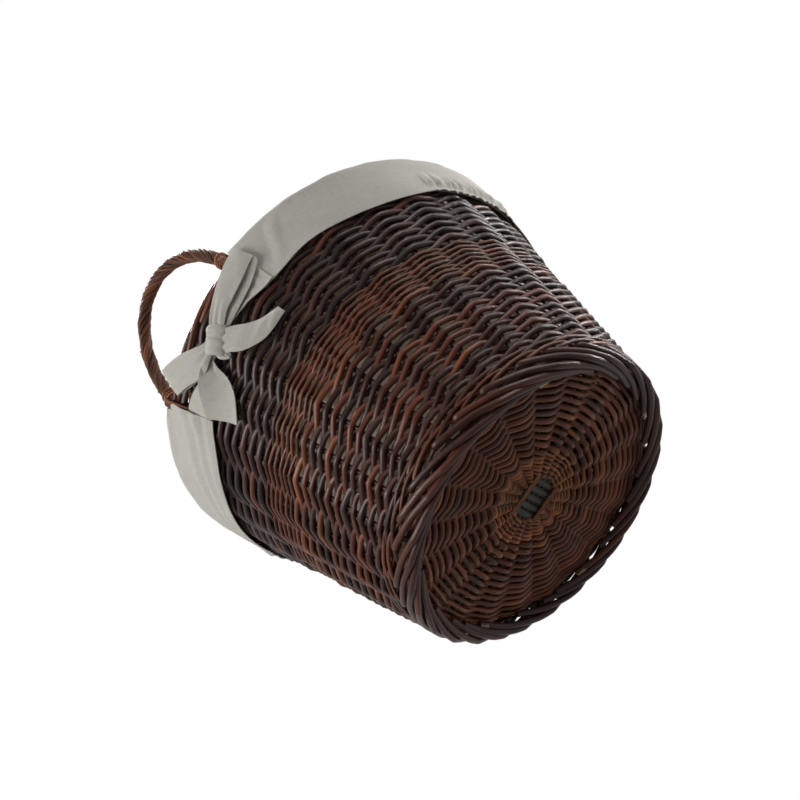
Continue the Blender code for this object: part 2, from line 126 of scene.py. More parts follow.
def repeating(place, places, values, period):
    """Straight lines between the values, which come round again after the period, with eased corners."""
    shifts = (-0.04, 0.0, 0.04)
    return sum(np.interp(place + shift, places, values, period=period) for shift in shifts) / len(shifts)


def curve_through(points, count):
    """A smooth curve through the points (Catmull-Rom), at evenly spaced shares of their number."""
    points = np.asarray(points, float)
    padded = np.vstack([2 * points[0] - points[1], points, 2 * points[-1] - points[-2]])
    place = np.linspace(0, len(points) - 1, count)
    low = np.minimum(place.astype(int), len(points) - 2)
    t = (place - low)[:, None]
    a, b, c, d = (padded[low + k] for k in range(4))
    square = (2 * a - 5 * b + 4 * c - d) * t ** 2
    cube = (3 * b - a - 3 * c + d) * t ** 3
    return 0.5 * (2 * b + (c - a) * t + square + cube)


# -------- meshes
def mesh_piece(name, material, verts, loops, starts, totals, uv_map, uvs, attributes, sharp):
    """A smooth mesh with a UV map and values at its points; corners over sharp degrees stay sharp."""
    mesh = bpy.data.meshes.new(name)
    mesh.vertices.add(len(verts))
    mesh.vertices.foreach_set("co", verts.astype(np.float32).ravel())
    mesh.loops.add(len(loops))
    mesh.loops.foreach_set("vertex_index", loops.astype(np.int32))
    mesh.polygons.add(len(starts))
    mesh.polygons.foreach_set("loop_start", starts.astype(np.int32))
    mesh.polygons.foreach_set("loop_total", totals.astype(np.int32))
    layer = mesh.uv_layers.new(name=uv_map)
    layer.data.foreach_set("uv", uvs.astype(np.float32).ravel())
    for label, values in attributes.items():
        attribute = mesh.attributes.new(label, "FLOAT", "POINT")
        attribute.data.foreach_set("value", values.astype(np.float32))
    mesh.update(calc_edges=True)
    mesh.validate()
    mesh.shade_smooth()
    mesh.set_sharp_from_angle(angle=math.radians(sharp))
    mesh.materials.append(material)
    piece = bpy.data.objects.new(name, mesh)
    bpy.context.scene.collection.objects.link(piece)
    return piece


class Rods:
    """Collects swept rods, then makes one mesh of them.

    The UV map "Rod" holds metres along the rod and the share of the way round it, and the
    attributes "tone" and "warmth" tell the rods' colours apart.
    """

    def __init__(self):
        self.verts, self.loops, self.starts, self.totals = [], [], [], []
        self.uvs, self.tones, self.warmths = [], [], []
        self.vert_count = 0
        self.loop_count = 0

    def add(self, path, out, radius, tone, warmth, sides=8, closed=False):
        """Sweep a rod along path; out is where the section's first axis points."""
        path = np.asarray(path, float)
        count = len(path)
        radius = np.broadcast_to(radius, (count,)).astype(float)
        if closed:
            tangent = np.roll(path, -1, axis=0) - np.roll(path, 1, axis=0)
        else:
            tangent = np.gradient(path, axis=0)
        tangent = unit(tangent)
        side = unit(np.cross(tangent, out))
        up = np.cross(side, tangent)
        turn = np.arange(sides) * 2 * math.pi / sides
        cosine, sine = np.cos(turn)[None, :, None], np.sin(turn)[None, :, None]
        ring = cosine * up[:, None] + sine * side[:, None]
        verts = path[:, None] + radius[:, None, None] * ring
        spans = count if closed else count - 1
        i = np.arange(spans)[:, None]
        k = np.arange(sides)[None, :]
        following = (i + 1) % count
        beside = (k + 1) % sides
        corners = ((i, k), (i, beside), (following, beside), (following, k))
        quads = np.stack([row * sides + column for row, column in corners], axis=-1)
        steps = np.linalg.norm(np.roll(path, -1, axis=0) - path, axis=1)
        along = np.concatenate([[0.0], np.cumsum(steps)])
        begin, end = along[:spans], along[1:spans + 1]
        u = np.stack([begin, begin, end, end], axis=-1)
        u = np.broadcast_to(u[:, None, :], (spans, sides, 4))
        v = np.stack([k, k + 1, k + 1, k], axis=-1) / sides
        v = np.broadcast_to(v, (spans, sides, 4))
        self._store(verts.reshape(-1, 3), quads.reshape(-1, 4), np.stack([u, v], axis=-1).reshape(-1, 2))
        if not closed:
            first = self.vert_count - count * sides
            self._cap(first + np.arange(sides)[::-1])
            self._cap(first + (count - 1) * sides + np.arange(sides))
        for store, value in ((self.tones, tone), (self.warmths, warmth)):
            store.append(np.repeat(np.broadcast_to(value, (count,)), sides))

    def _store(self, verts, quads, uvs):
        self.verts.append(verts)
        self.loops.append(quads.reshape(-1) + self.vert_count)
        self.starts.append(self.loop_count + 4 * np.arange(len(quads)))
        self.totals.append(np.full(len(quads), 4))
        self.uvs.append(uvs)
        self.vert_count += len(verts)
        self.loop_count += 4 * len(quads)

    def _cap(self, corners):
        self.loops.append(corners)
        self.starts.append(np.array([self.loop_count]))
        self.totals.append(np.array([len(corners)]))
        self.uvs.append(np.zeros((len(corners), 2)))
        self.loop_count += len(corners)

    def build(self, name, material):
        verts, loops, starts, totals, uvs, tones, warmths = (np.concatenate(part) for part in (
            self.verts, self.loops, self.starts, self.totals, self.uvs, self.tones, self.warmths))
        attributes = {"tone": tones, "warmth": warmths}
        return mesh_piece(name, material, verts, loops, starts, totals, "Rod", uvs, attributes, 50)


def finish_piece(piece, slot, *nodes):
    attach(piece, "root")
    if nodes:
        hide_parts(*nodes)
    return piece


# -------- node helpers
def new_material(name):
    material = bpy.data.materials.new(name)
    material.use_nodes = True
    tree = material.node_tree
    return material, tree, tree.nodes["Principled BSDF"]


def add_node(tree, kind, **settings):
    node = tree.nodes.new(kind)
    for key, value in settings.items():
        setattr(node, key, value)
    return node


def feed(tree, node, values):
    """Links or sets each named or numbered input of the node."""
    for key, value in values.items():
        socket = node.inputs[key]
        if isinstance(value, bpy.types.NodeSocket):
            tree.links.new(value, socket)
        elif socket.type == "RGBA":
            socket.default_value = (*value, 1.0)
        else:
            socket.default_value = value


def math_node(tree, operation, *operands, clamp=False):
    node = add_node(tree, "ShaderNodeMath", operation=operation, use_clamp=clamp)
    feed(tree, node, dict(enumerate(operands)))
    return node.outputs[0]


def ramp_node(tree, value, stops):
    node = add_node(tree, "ShaderNodeValToRGB")
    elements = node.color_ramp.elements
    while len(elements) < len(stops):
        elements.new(0.5)
    for element, (place, colour) in zip(elements, stops):
        element.position = place
        element.color = (*colour, 1.0)
    feed(tree, node, {"Fac": value})
    return node.outputs["Color"]


def noise_node(tree, vector, scale, detail=2.0, roughness=0.5):
    node = add_node(tree, "ShaderNodeTexNoise")
    feed(tree, node, {"Vector": vector, "Scale": scale, "Detail": detail, "Roughness": roughness})
    return node.outputs["Fac"]


def mapped(tree, vector, scale, turn=0.0):
    node = add_node(tree, "ShaderNodeMapping")
    feed(tree, node, {"Vector": vector, "Scale": scale, "Rotation": (0.0, 0.0, turn)})
    return node.outputs[0]


def attribute_node(tree, name):
    return add_node(tree, "ShaderNodeAttribute", attribute_name=name).outputs["Fac"]


def combine_node(tree, *parts):
    node = add_node(tree, "ShaderNodeCombineXYZ")
    feed(tree, node, dict(enumerate(parts)))
    return node.outputs[0]


def bump_node(tree, height, strength, distance):
    node = add_node(tree, "ShaderNodeBump")
    feed(tree, node, {"Height": height, "Strength": strength, "Distance": distance})
    return node


def mix_node(tree, share, first, second, blend_type="MIX"):
    node = add_node(tree, "ShaderNodeMix", data_type="RGBA", blend_type=blend_type)
    feed(tree, node, {0: share, 6: first, 7: second})
    return node.outputs[2]


def mix_shaders(tree, share, first, second):
    node = add_node(tree, "ShaderNodeMixShader")
    feed(tree, node, {0: share, 1: first, 2: second})
    return node.outputs[0]


# -------- materials
THREADS_PER_METRE = 1100.0
STITCHES_FROM_HEM = 0.0105
LINEN_STOPS = ((0.25, (0.37, 0.342, 0.295)), (0.55, (0.485, 0.462, 0.41)), (0.85, (0.57, 0.55, 0.505)))
ELASTIC_STOPS = ((0.3, (0.50, 0.48, 0.43)), (0.7, (0.66, 0.64, 0.59)))


def willow_material(name, stops, roughness=0.32, depth=0.0004, shine=0.46):
    """Stained willow bark: a colour for each rod, long streaks, blotches and fine bark ridges."""
    material, tree, shader = new_material(name)
    uv = add_node(tree, "ShaderNodeUVMap", uv_map="Rod")
    parts = add_node(tree, "ShaderNodeSeparateXYZ")
    tree.links.new(uv.outputs["UV"], parts.inputs[0])
    tone = attribute_node(tree, "tone")
    warmth = attribute_node(tree, "warmth")
    turn = math_node(tree, "MULTIPLY", parts.outputs["Y"], 2 * math.pi)
    start = math_node(tree, "MULTIPLY_ADD", tone, 37.0, 0.0)
    along = math_node(tree, "ADD", parts.outputs["X"], start)

    def rod_space(stretch, girth):
        """Coordinates that run along and round the rod, without a seam."""
        across = math_node(tree, "MULTIPLY", math_node(tree, "COSINE", turn), girth)
        upward = math_node(tree, "MULTIPLY", math_node(tree, "SINE", turn), girth)
        return combine_node(tree, math_node(tree, "MULTIPLY", along, stretch), across, upward)

    blotch = noise_node(tree, rod_space(14.0, 0.35), 1.0, 3.0, 0.6)
    streak = noise_node(tree, rod_space(22.0, 2.4), 1.0, 3.0, 0.6)
    bark = noise_node(tree, rod_space(90.0, 5.0), 1.0, 4.0, 0.65)

    shift = math_node(tree, "MULTIPLY_ADD", blotch, 1.1, -0.55)
    colour = ramp_node(tree, math_node(tree, "ADD", warmth, shift, clamp=True), stops)
    light = math_node(tree, "MULTIPLY_ADD", tone, 0.9, 0.55)
    fleck = math_node(tree, "MULTIPLY_ADD", streak, 2.4, -0.18)
    shade = math_node(tree, "MULTIPLY", light, fleck)
    grey = combine_node(tree, shade, shade, shade)
    bump = bump_node(tree, math_node(tree, "ADD", bark, streak), 0.8, depth)
    feed(tree, shader, {
        "Base Color": mix_node(tree, 1.0, colour, grey, "MULTIPLY"),
        "Specular IOR Level": shine,
        "Roughness": math_node(tree, "MULTIPLY_ADD", streak, 0.25, roughness - 0.125),
        "Normal": bump.outputs["Normal"],
    })
    return material


def linen_material(name):
    """Plain woven cream cloth: crossed threads with slubs, and a soft sheen."""
    material, tree, shader = new_material(name)
    uv = add_node(tree, "ShaderNodeUVMap", uv_map="Cloth").outputs["UV"]
    parts = add_node(tree, "ShaderNodeSeparateXYZ")
    tree.links.new(uv, parts.inputs[0])

    def thread(coordinate, wobble):
        run = math_node(tree, "MULTIPLY_ADD", coordinate, THREADS_PER_METRE * math.pi, wobble)
        return math_node(tree, "ABSOLUTE", math_node(tree, "SINE", run))

    slub_across = noise_node(tree, mapped(tree, uv, (60.0, 900.0, 1.0)), 1.0, 2.0)
    slub_up = noise_node(tree, mapped(tree, uv, (900.0, 60.0, 1.0)), 1.0, 2.0)
    warp = thread(parts.outputs["X"], slub_up)
    weft = thread(parts.outputs["Y"], slub_across)
    weave = math_node(tree, "MULTIPLY", warp, weft)
    soil = noise_node(tree, uv, 22.0, 4.0)

    slubs = math_node(tree, "ADD", slub_across, slub_up)
    tint = math_node(tree, "MULTIPLY_ADD", slubs, 0.45, math_node(tree, "MULTIPLY", soil, 0.25))
    colour = ramp_node(tree, tint, LINEN_STOPS)
    # painted light: the bag is painted a little paler than the cuff, to stand in for the light that reaches
    # the lining seen through the weave
    edge = attribute_node(tree, "edge")
    inside = add_node(tree, "ShaderNodeMapRange")
    feed(tree, inside, {"Value": edge, "From Min": 0.08, "From Max": 0.16})
    painted_light_bag = mix_node(tree, 1.0, colour, (1.18, 1.14, 1.13), "MULTIPLY")
    # the line of stitches that holds each hem
    from_stitches = math_node(tree, "ABSOLUTE", math_node(tree, "SUBTRACT", edge, STITCHES_FROM_HEM))
    stitches = math_node(tree, "LESS_THAN", from_stitches, 0.0006)
    creases = noise_node(tree, mapped(tree, uv, (16.0, 60.0, 1.0), 0.5), 1.0, 3.0, 0.55)
    creased = bump_node(tree, creases, 0.5, 0.0016)
    threads = math_node(tree, "ADD", weave, slubs)
    bump = bump_node(tree, math_node(tree, "SUBTRACT", threads, stitches), 0.35, 0.0004)
    feed(tree, bump, {"Normal": creased.outputs["Normal"]})
    feed(tree, shader, {
        "Base Color": mix_node(tree, inside.outputs["Result"], colour, painted_light_bag),
        "Roughness": 0.92,
        "Sheen Weight": 0.15,
        "Sheen Roughness": 0.5,
        "Specular IOR Level": 0.2,
        "Subsurface Weight": 0.6,
        "Subsurface Radius": (1.0, 0.96, 0.92),
        "Subsurface Scale": 0.0025,
        "Normal": bump.outputs["Normal"],
    })
    return material


def elastic_material(name):
    """Off-white elastic with a fine grain."""
    material, tree, shader = new_material(name)
    uv = add_node(tree, "ShaderNodeUVMap", uv_map="Cloth").outputs["UV"]
    grain = noise_node(tree, uv, 1500.0, 2.0)
    feed(tree, shader, {"Base Color": ramp_node(tree, grain, ELASTIC_STOPS), "Roughness": 0.8})
    return material


# -------- woven wall
STAKE_JITTER = np.random.RandomState(11).uniform(-0.085, 0.085, STAKE_COUNT)


def bay_angle(bays):
    """The angle at a place counted in bays; stakes stand a little unevenly."""
    bays = np.asarray(bays, float)
    low = np.floor(bays).astype(int)
    share = bays - low
    jitter = STAKE_JITTER[low % STAKE_COUNT] * (1 - share) + STAKE_JITTER[(low + 1) % STAKE_COUNT] * share
    return FIRST_STAKE_ANGLE + STAKE_STEP * (bays + jitter)


SAMPLES = 10                    # points of a rod's path from one stake to the next

# A pairing rod's way: bays from the stake that it passes in front of, and its height as a share of the
# row's. It runs straight from the front of one stake to the back of the next. A steep rod comes up
# between the stakes, and an even one all the way to the stake.
STEEP_ROD = np.array([
    (0.00, 0.134), (0.20, 0.190), (0.35, 0.225), (0.45, 0.230), (0.50, 0.190), (0.60, 0.010), (0.70, -0.140),
    (0.85, -0.210), (1.00, -0.210), (1.20, -0.290), (1.32, -0.370), (1.42, -0.370), (1.50, -0.310),
    (1.60, -0.160), (1.72, 0.010), (1.86, 0.110)])
EVEN_ROD = np.array([
    (0.00, 0.134), (0.20, 0.190), (0.35, 0.240), (0.45, 0.250), (0.50, 0.210), (0.60, 0.020), (0.70, -0.140),
    (0.85, -0.220), (1.00, -0.220), (1.20, -0.290), (1.32, -0.340), (1.42, -0.330), (1.50, -0.280),
    (1.60, -0.200), (1.72, -0.110), (1.86, 0.000), (1.95, 0.090)])
IN_AND_OUT = np.array([(0.0, 1.0), (1.0, -1.0)])     # in front of one stake and behind the next


def pairing_band(name, material, slot, node, way, bottom, top, rows, rod_radius, swing, seed, warm):
    """Rows of two rods that twist round each other between the stakes.

    A rod stays high from the stake that it fronts to the middle of the bay, falls to pass behind the next
    stake, and climbs back in the bay after it.
    """
    rng = np.random.RandomState(seed)
    rods = Rods()
    pitch = (top - bottom) / rows
    count = STAKE_COUNT * SAMPLES
    bays = np.arange(count) / SAMPLES
    drift = smooth_noise(rng, count, 9) * 0.0006
    for row in range(rows):
        drift = 0.6 * drift + smooth_noise(rng, count, 14) * 0.0005
        for strand in range(2):
            place = bays + strand + row
            wander = smooth_noise(rng, count, 56) * 0.0008
            rise = pitch * repeating(place, way[:, 0], way[:, 1], 2.0)
            z = bottom + pitch * (row + 0.5) + rise + drift + wander
            depth = swing + smooth_noise(rng, count, 40) * 0.0006
            r = wall_middle(z) + depth * repeating(place, IN_AND_OUT[:, 0], IN_AND_OUT[:, 1], 2.0)
            path = cylinder(r, bay_angle(bays), z)
            add_weaver(rods, rng, path, outward(path), rod_radius, warm, 9 * SAMPLES, 19 * SAMPLES)
    return finish_piece(rods.build(name, material), slot, node)


def add_weaver(rods, rng, path, out, rod_radius, warm, shortest, longest):
    """One strand all the way round, whose thickness and colour change where a new rod is laid in."""
    count = len(path)
    laid_in = [0]
    while laid_in[-1] < count:
        laid_in.append(laid_in[-1] + rng.randint(shortest, longest))
    starts = np.array(laid_in[:-1])
    which = np.searchsorted(starts, np.arange(count), side="right") - 1
    tones = rng.uniform(0.0, 1.0, len(starts))
    warmths = np.clip(warm + rng.normal(0.0, 0.19, len(starts)), 0.0, 1.0)
    sizes = 1 + rng.uniform(-0.12, 0.10, len(starts))
    knots = smooth_noise(rng, count, 13) + smooth_noise(rng, count, 90)
    thickness = rod_radius * sizes[which] * (1 + 0.06 * knots)
    rods.add(path, out, thickness, tones[which], warmths[which], closed=True)


def waling_band(name, material, node, bottom, top, rounds, rod_radius, seed, warm):
    """Three rods that each pass in front of two stakes and behind one, climbing as they go round."""
    rng = np.random.RandomState(seed)
    rods = Rods()
    pitch = (top - bottom) / rounds
    reach = 0.0023 + rod_radius
    count = STAKE_COUNT * SAMPLES
    bays = np.arange(count) / SAMPLES
    for row in range(rounds):
        for strand in range(3):
            phase = 2 * math.pi * (bays + strand) / 3
            # 28 stakes leave one over, so the phase takes up the slack over the whole round
            phase = phase - 2 * math.pi / 3 * bays / STAKE_COUNT
            climb = (pitch * 0.62 - rod_radius * 0.3) * np.sin(phase + math.radians(55))
            z = bottom + pitch * (row + 0.5) + climb
            z = np.clip(z, bottom + rod_radius * 0.8, top - rod_radius * 0.8)
            swing = np.clip(1.5 * np.cos(phase) + 0.55, -1, 1)
            r = wall_middle(z) + reach * swing
            path = cylinder(r, bay_angle(bays), z)
            add_weaver(rods, rng, path, outward(path), rod_radius, warm, 9 * SAMPLES, 19 * SAMPLES)
    return finish_piece(rods.build(name, material), "red_willow", node)


def make_stakes(material):
    """28 stakes, each with a bye-stake beside it."""
    rng = np.random.RandomState(5)
    rods = Rods()
    for stake in range(STAKE_COUNT):
        for member in (-1, 1):
            z = np.linspace(0.0180, 0.3480, 40)
            radius = wall_middle(z)
            radius[:2] -= np.array([0.0080, 0.0020])
            angle = bay_angle(np.full(len(z), float(stake))) + member * 0.00150 / radius
            angle = angle + 0.0006 * smooth_noise(rng, len(z), 7) / radius
            path = cylinder(radius, angle, z)
            rods.add(path, outward(path), np.linspace(0.0022, 0.0019, len(z)), 0.4 * rng.uniform(0, 1),
                     np.linspace(0.55, 0.10, len(z)))
    piece = rods.build("stakes_and_bye_stakes", material)
    nodes = [f"stake_{number:02d}" for number in range(1, STAKE_COUNT + 1)]
    return finish_piece(piece, "dark_willow", *nodes)


# -------- borders
def make_foot_border(material, cut_wood):
    """Thick rods laid from the wall down under the edge, each with its cut end inside the foot."""
    rng = np.random.RandomState(21)
    rods = Rods()
    cuts = Rods()
    rod_radius = 0.0039
    outside = math.radians(24)
    inside = math.radians(34)
    for stake in range(STAKE_COUNT):
        start = float(bay_angle(stake)) + rng.uniform(-0.02, 0.02) - math.radians(3)
        thick = rod_radius * rng.uniform(0.9, 1.06)
        spread = outside * rng.uniform(0.94, 1.06)
        reach = inside * rng.uniform(0.85, 1.1)
        angles = start + np.array([-0.10, 0.0, 0.5, 0.86, 1.0]) * spread
        angles = np.concatenate([angles, start + spread + np.array([0.22, 0.6, 1.0]) * reach])
        tip = 0.0120 + rng.uniform(-0.001, 0.001)
        z = np.array([0.0290, 0.0252, 0.0155, 0.0073, 0.0052, 0.0044, 0.0070, tip])
        inset = np.array([0.0100, 0.0043, 0.0040, 0.0040, 0.0048])
        radius = np.concatenate([wall_outer(z[:5]) - inset, [0.1722, 0.1655, 0.1598]])
        path = curve_through(cylinder(radius, angles, z), 30)
        tone = 0.20 * rng.uniform(0, 1)
        rods.add(path, outward(path), thick, tone, 0.40 + 0.4 * rng.uniform(0, 1), sides=12)
        if stake % 6 != 2:
            continue
        # a slanting cut shows pale wood on the side towards the floor
        slant = path[-4:] + DOWN * np.array([0.0006, 0.0007, 0.0009, 0.0012])[:, None]
        cuts.add(slant, outward(slant), thick * np.array([0.25, 0.62, 0.85, 0.72]), rng.uniform(0, 1),
                 rng.uniform(0, 1), sides=12)
    finish_piece(cuts.build("foot_border_cuts", cut_wood), "stick_willow")
    return finish_piece(rods.build("foot_border_rods", material), "dark_willow", "foot_border")


def make_top_border(material):
    """Rolled border: each stake is laid down into a rope that runs round the rim."""
    rng = np.random.RandomState(31)
    rods = Rods()
    middle_height = 0.3505
    middle_radius = wall_outer(middle_height) - 0.0098
    bays_long = 4.2
    rod_radius = 0.0033
    for stake in range(STAKE_COUNT):
        share = np.linspace(0, 1, 40)
        bays = stake + bays_long * share
        turn = math.radians(-70) + math.radians(300) * share
        size = 1.0 - 0.25 * np.abs(2 * share - 1) ** 3
        radius = middle_radius + 0.0064 * np.cos(turn) * size
        z = middle_height + 0.0047 * np.sin(turn) * size
        path = cylinder(radius, bay_angle(bays), z)
        thick = rod_radius * rng.uniform(0.92, 1.08)
        rods.add(path, outward(path), thick, rng.uniform(0, 1), 0.55 + 0.4 * rng.uniform(0, 1))
    angle = np.linspace(0, 2 * math.pi, 180, endpoint=False)
    for offset in (-0.0025, 0.0025):
        path = cylinder(middle_radius + offset, angle, middle_height)
        rods.add(path, outward(path), 0.0030, 0.4, 0.5, closed=True)
    return finish_piece(rods.build("top_border_rods", material), "dark_willow", "top_border")


# -------- base
def spoke_path(index):
    """One spoke out from the slath, bent to its place on the base's edge."""
    way = index // 5 % 4
    offset = index % 5 - 2
    spacing = 0.0099 if way % 2 == 0 else 0.0090
    turn = STICK_TURN + way * math.pi / 2
    outer_angle = offset * math.radians(18)
    points = [(0.0, offset * spacing), (0.018, offset * spacing), (0.034, offset * spacing * 1.10),
              (0.080 * math.cos(outer_angle), 0.080 * math.sin(outer_angle)),
              (0.167 * math.cos(outer_angle), 0.167 * math.sin(outer_angle))]
    path = turned(curve_through([(x, y, 0.0) for x, y in points], 30), turn)
    path[:, 2] = BASE_MIDDLE
    return path


def make_base_sticks(material):
    rng = np.random.RandomState(41)
    rods = Rods()
    for index in range(SPOKE_COUNT):
        path = spoke_path(index)
        way = index // 5 % 4
        if way % 2 == 0:
            radius = np.linspace(0.0044, 0.0034, len(path))
        else:
            # these lie on the others in the middle, and are only seen between them
            share = np.linspace(0, 1, len(path))
            radius = np.interp(share, (0.0, 0.22, 0.40, 1.0), (0.0047, 0.0044, 0.0034, 0.0034))
            path[:, 2] += np.interp(share, (0.0, 0.20, 0.40), (0.0036, 0.0032, 0.0))
        tone = 0.3 + 0.5 * rng.uniform(0, 1)
        rods.add(path, DOWN, radius, tone, 0.15 + 0.3 * rng.uniform(0, 1), sides=10)
    nodes = [f"{kind}_stick_{number}" for kind in ("pierced", "through") for number in range(1, 6)]
    return finish_piece(rods.build("base_sticks", material), "stick_willow", *nodes)


def make_base_bindings(material):
    """The two strands that hold the slath's sticks together, seen across it from below."""
    rng = np.random.RandomState(43)
    rods = Rods()
    for side in (-1, 1):
        for member in range(2):
            across = np.linspace(-0.0265, 0.0265, 40)
            along = side * (0.0193 + 0.0028 * member) + 0.0005 * np.sin(across * 260 + member)
            under = np.clip((0.0262 - np.abs(across)) / 0.004, 0.0, 1.0)
            z = BASE_MIDDLE - 0.0030 - 0.0030 * under + 0.0003 * np.cos(across * 630)
            path = turned(np.stack([along, across, z], axis=1), STICK_TURN)
            rods.add(path, DOWN, 0.0015, 0.75 + 0.25 * rng.uniform(0, 1), 0.75)
    return finish_piece(rods.build("base_binding_rods", material), "red_willow")


OUTER_NARROWING = 0.166      # the outer rows are 10.5 mm apart beside the centre and 7.5 mm at the edge


def spoke_angle(spokes):
    return STICK_TURN + math.radians(18) * np.asarray(spokes, float)


def base_pairing(name, material, slot, node, first, last, rows, radii, seed, warm, narrowing=0.0):
    """Rows of pairing in the level base, with their bends drawn to the spokes."""
    rng = np.random.RandomState(seed)
    rods = Rods()
    count = SPOKE_COUNT * SAMPLES
    spokes = np.arange(count) / SAMPLES
    pitches = np.linspace(1 + narrowing, 1 - narrowing, rows)
    edges = first + (last - first) * np.concatenate([[0], np.cumsum(pitches)]) / rows
    for row in range(rows):
        middle = (edges[row] + edges[row + 1]) / 2
        pitch = edges[row + 1] - edges[row]
        rod_radius = radii[0] + (radii[1] - radii[0]) * row / max(rows - 1, 1)
        swing = 0.0030 + rod_radius
        lift = max(pitch / 2 - rod_radius * 0.75, 0.0008)
        for strand in range(2):
            phase = math.pi * (spokes + strand + row)
            wander = smooth_noise(rng, count, 20) * 0.0005
            radius = middle - lift * sharpened(phase + math.radians(68)) + wander
            z = BASE_MIDDLE - swing * sharpened(phase + math.radians(90 + 24))
            path = cylinder(radius, spoke_angle(spokes), z)
            add_weaver(rods, rng, path, DOWN, rod_radius, warm, 7 * SAMPLES, 15 * SAMPLES)
    return finish_piece(rods.build(name, material), slot, node)


# -------- handles
def handle_line(turn, count=120):
    """Centre line of a handle: up out of the wall, over, and down into it again."""
    foot_x = math.sqrt(HANDLE_FOOT_RADIUS ** 2 - HANDLE_HALF_WIDTH ** 2)
    t = np.linspace(0, math.pi, count)
    rise = HANDLE_RISE * np.sin(t)
    x = foot_x + rise * math.cos(HANDLE_LEAN)
    y = HANDLE_HALF_WIDTH * np.cos(t)
    z = HANDLE_FOOT_HEIGHT + rise * math.sin(HANDLE_LEAN)
    arch = np.stack([x, y, z], axis=1)
    leg_z = np.linspace(0.300, HANDLE_FOOT_HEIGHT - 0.004, 12)
    leg_r = wall_middle(leg_z)
    legs = []
    for side in (1, -1):
        leg_x = leg_r * math.cos(HANDLE_LEG_ANGLE)
        legs.append(np.stack([leg_x, side * leg_r * math.sin(HANDLE_LEG_ANGLE), leg_z], axis=1))
    return turned(np.vstack([legs[0], arch, legs[1][::-1]]), turn)


def make_handle(label, turn, material):
    """A rope of willow rods twisted round a core."""
    rng = np.random.RandomState(51)
    rods = Rods()
    line = handle_line(turn)
    steps = np.linalg.norm(np.diff(line, axis=0), axis=1)
    along = np.concatenate([[0.0], np.cumsum(steps)])
    length = along[-1]
    tangent = unit(np.gradient(line, axis=0))
    away = np.array([math.cos(turn), math.sin(turn), 0.0])
    side = unit(np.cross(tangent, away))
    up = np.cross(side, tangent)
    strands = 9
    strand_radius = 0.0024
    twist_length = 0.078
    from_end = np.minimum(along, length - along)
    full = np.clip((from_end - 0.030) / 0.022, 0.0, 1.0)
    for strand in range(strands):
        phase = 2 * math.pi * (strand / strands + along / twist_length)
        phase = phase + 0.25 * np.sin(along * 31 + strand)
        reach = 0.0030 + 0.0023 * full + 0.0003 * np.sin(along * 47 + 2.1 * strand)
        path = line + reach[:, None] * (np.cos(phase)[:, None] * up + np.sin(phase)[:, None] * side)
        thick = strand_radius * (1 + 0.12 * np.sin(along * 11 + strand * 1.7)) * (0.55 + 0.45 * full)
        rods.add(path, unit(path - line + 1e-9), thick, rng.uniform(0, 1), rng.uniform(0.2, 0.9))
    rods.add(line, up, 0.0040 * (0.6 + 0.4 * full), 0.1, 0.2)

    def at(distance):
        return tuple(np.array([np.interp(distance, along, values[:, k]) for k in range(3)])
                     for values in (line, up, side))

    # three turns of a thin rod round each foot of the rope
    for foot in (0.0640, 0.0684, 0.0728):
        for distance in (foot, length - foot):
            middle, high, wide = at(distance)
            turns = np.linspace(0, 2 * math.pi, 32, endpoint=False)[:, None]
            ring = middle + 0.0078 * (np.cos(turns) * high + np.sin(turns) * wide)
            ring = ring + 0.0012 * np.sin(turns) * unit(np.cross(high, wide))
            tone = rng.uniform(0, 1)
            rods.add(ring, unit(ring - middle), 0.0018, tone, rng.uniform(0.6, 1.0), closed=True)
    # cut stubs that stand out of the rope: share of its length, way round it, height
    stubs = ((0.30, 0.4, 0.0035), (0.47, -0.3, 0.0020), (0.66, 0.2, 0.0030), (0.79, 1.2, 0.0022))
    for share, roll, tall in stubs:
        middle, high, wide = at(share * length)
        away_from_rope = math.cos(roll) * high + math.sin(roll) * wide
        run = unit(np.cross(high, wide))
        heights = np.array([0.0030, 0.0058, 0.0068 + 0.6 * tall])[:, None]
        stub = middle + heights * away_from_rope + np.array([0.0, 0.0030, 0.0050])[:, None] * run
        thick = np.array([0.0026, 0.0025, 0.0019])
        rods.add(stub, wide, thick, rng.uniform(0.4, 1), rng.uniform(0.5, 1.0))
    piece = rods.build(f"rope_handle_rods_{label}", material)
    return finish_piece(piece, "handle_willow", f"rope_handle_{label}")


def make_handle_ties(label, turn, material):
    """Rod ends that leave the rope at its foot and run down over the border in a V."""
    rng = np.random.RandomState(61)
    rods = Rods()
    for side in (1, -1):
        middle = turn + side * HANDLE_LEG_ANGLE
        for spread in (-1.0, -0.35, 0.35, 1.0):
            fan = math.radians(1.55) * spread
            heights = np.array([0.3720, 0.3640, 0.3590, 0.3520, 0.3380, 0.3240, 0.3140])
            stand = np.array([-0.0065, -0.0020, 0.0022, 0.0028, 0.0022, 0.0010, -0.0060])
            shares = np.array([0.25, 0.30, 0.35, 0.45, 0.75, 1.0, 1.15])
            radius = wall_outer(np.minimum(heights, RIM_HEIGHT)) + stand
            path = curve_through(cylinder(radius, middle + fan * shares, heights), 36)
            thick = np.linspace(0.0021, 0.0017, 36)
            rods.add(path, outward(path), thick, rng.uniform(0, 1), rng.uniform(0.3, 0.9))
    nodes = [f"handle_tie_{label}_{number}" for number in (1, 2)]
    return finish_piece(rods.build(f"handle_tie_rods_{label}", material), "handle_willow", *nodes)


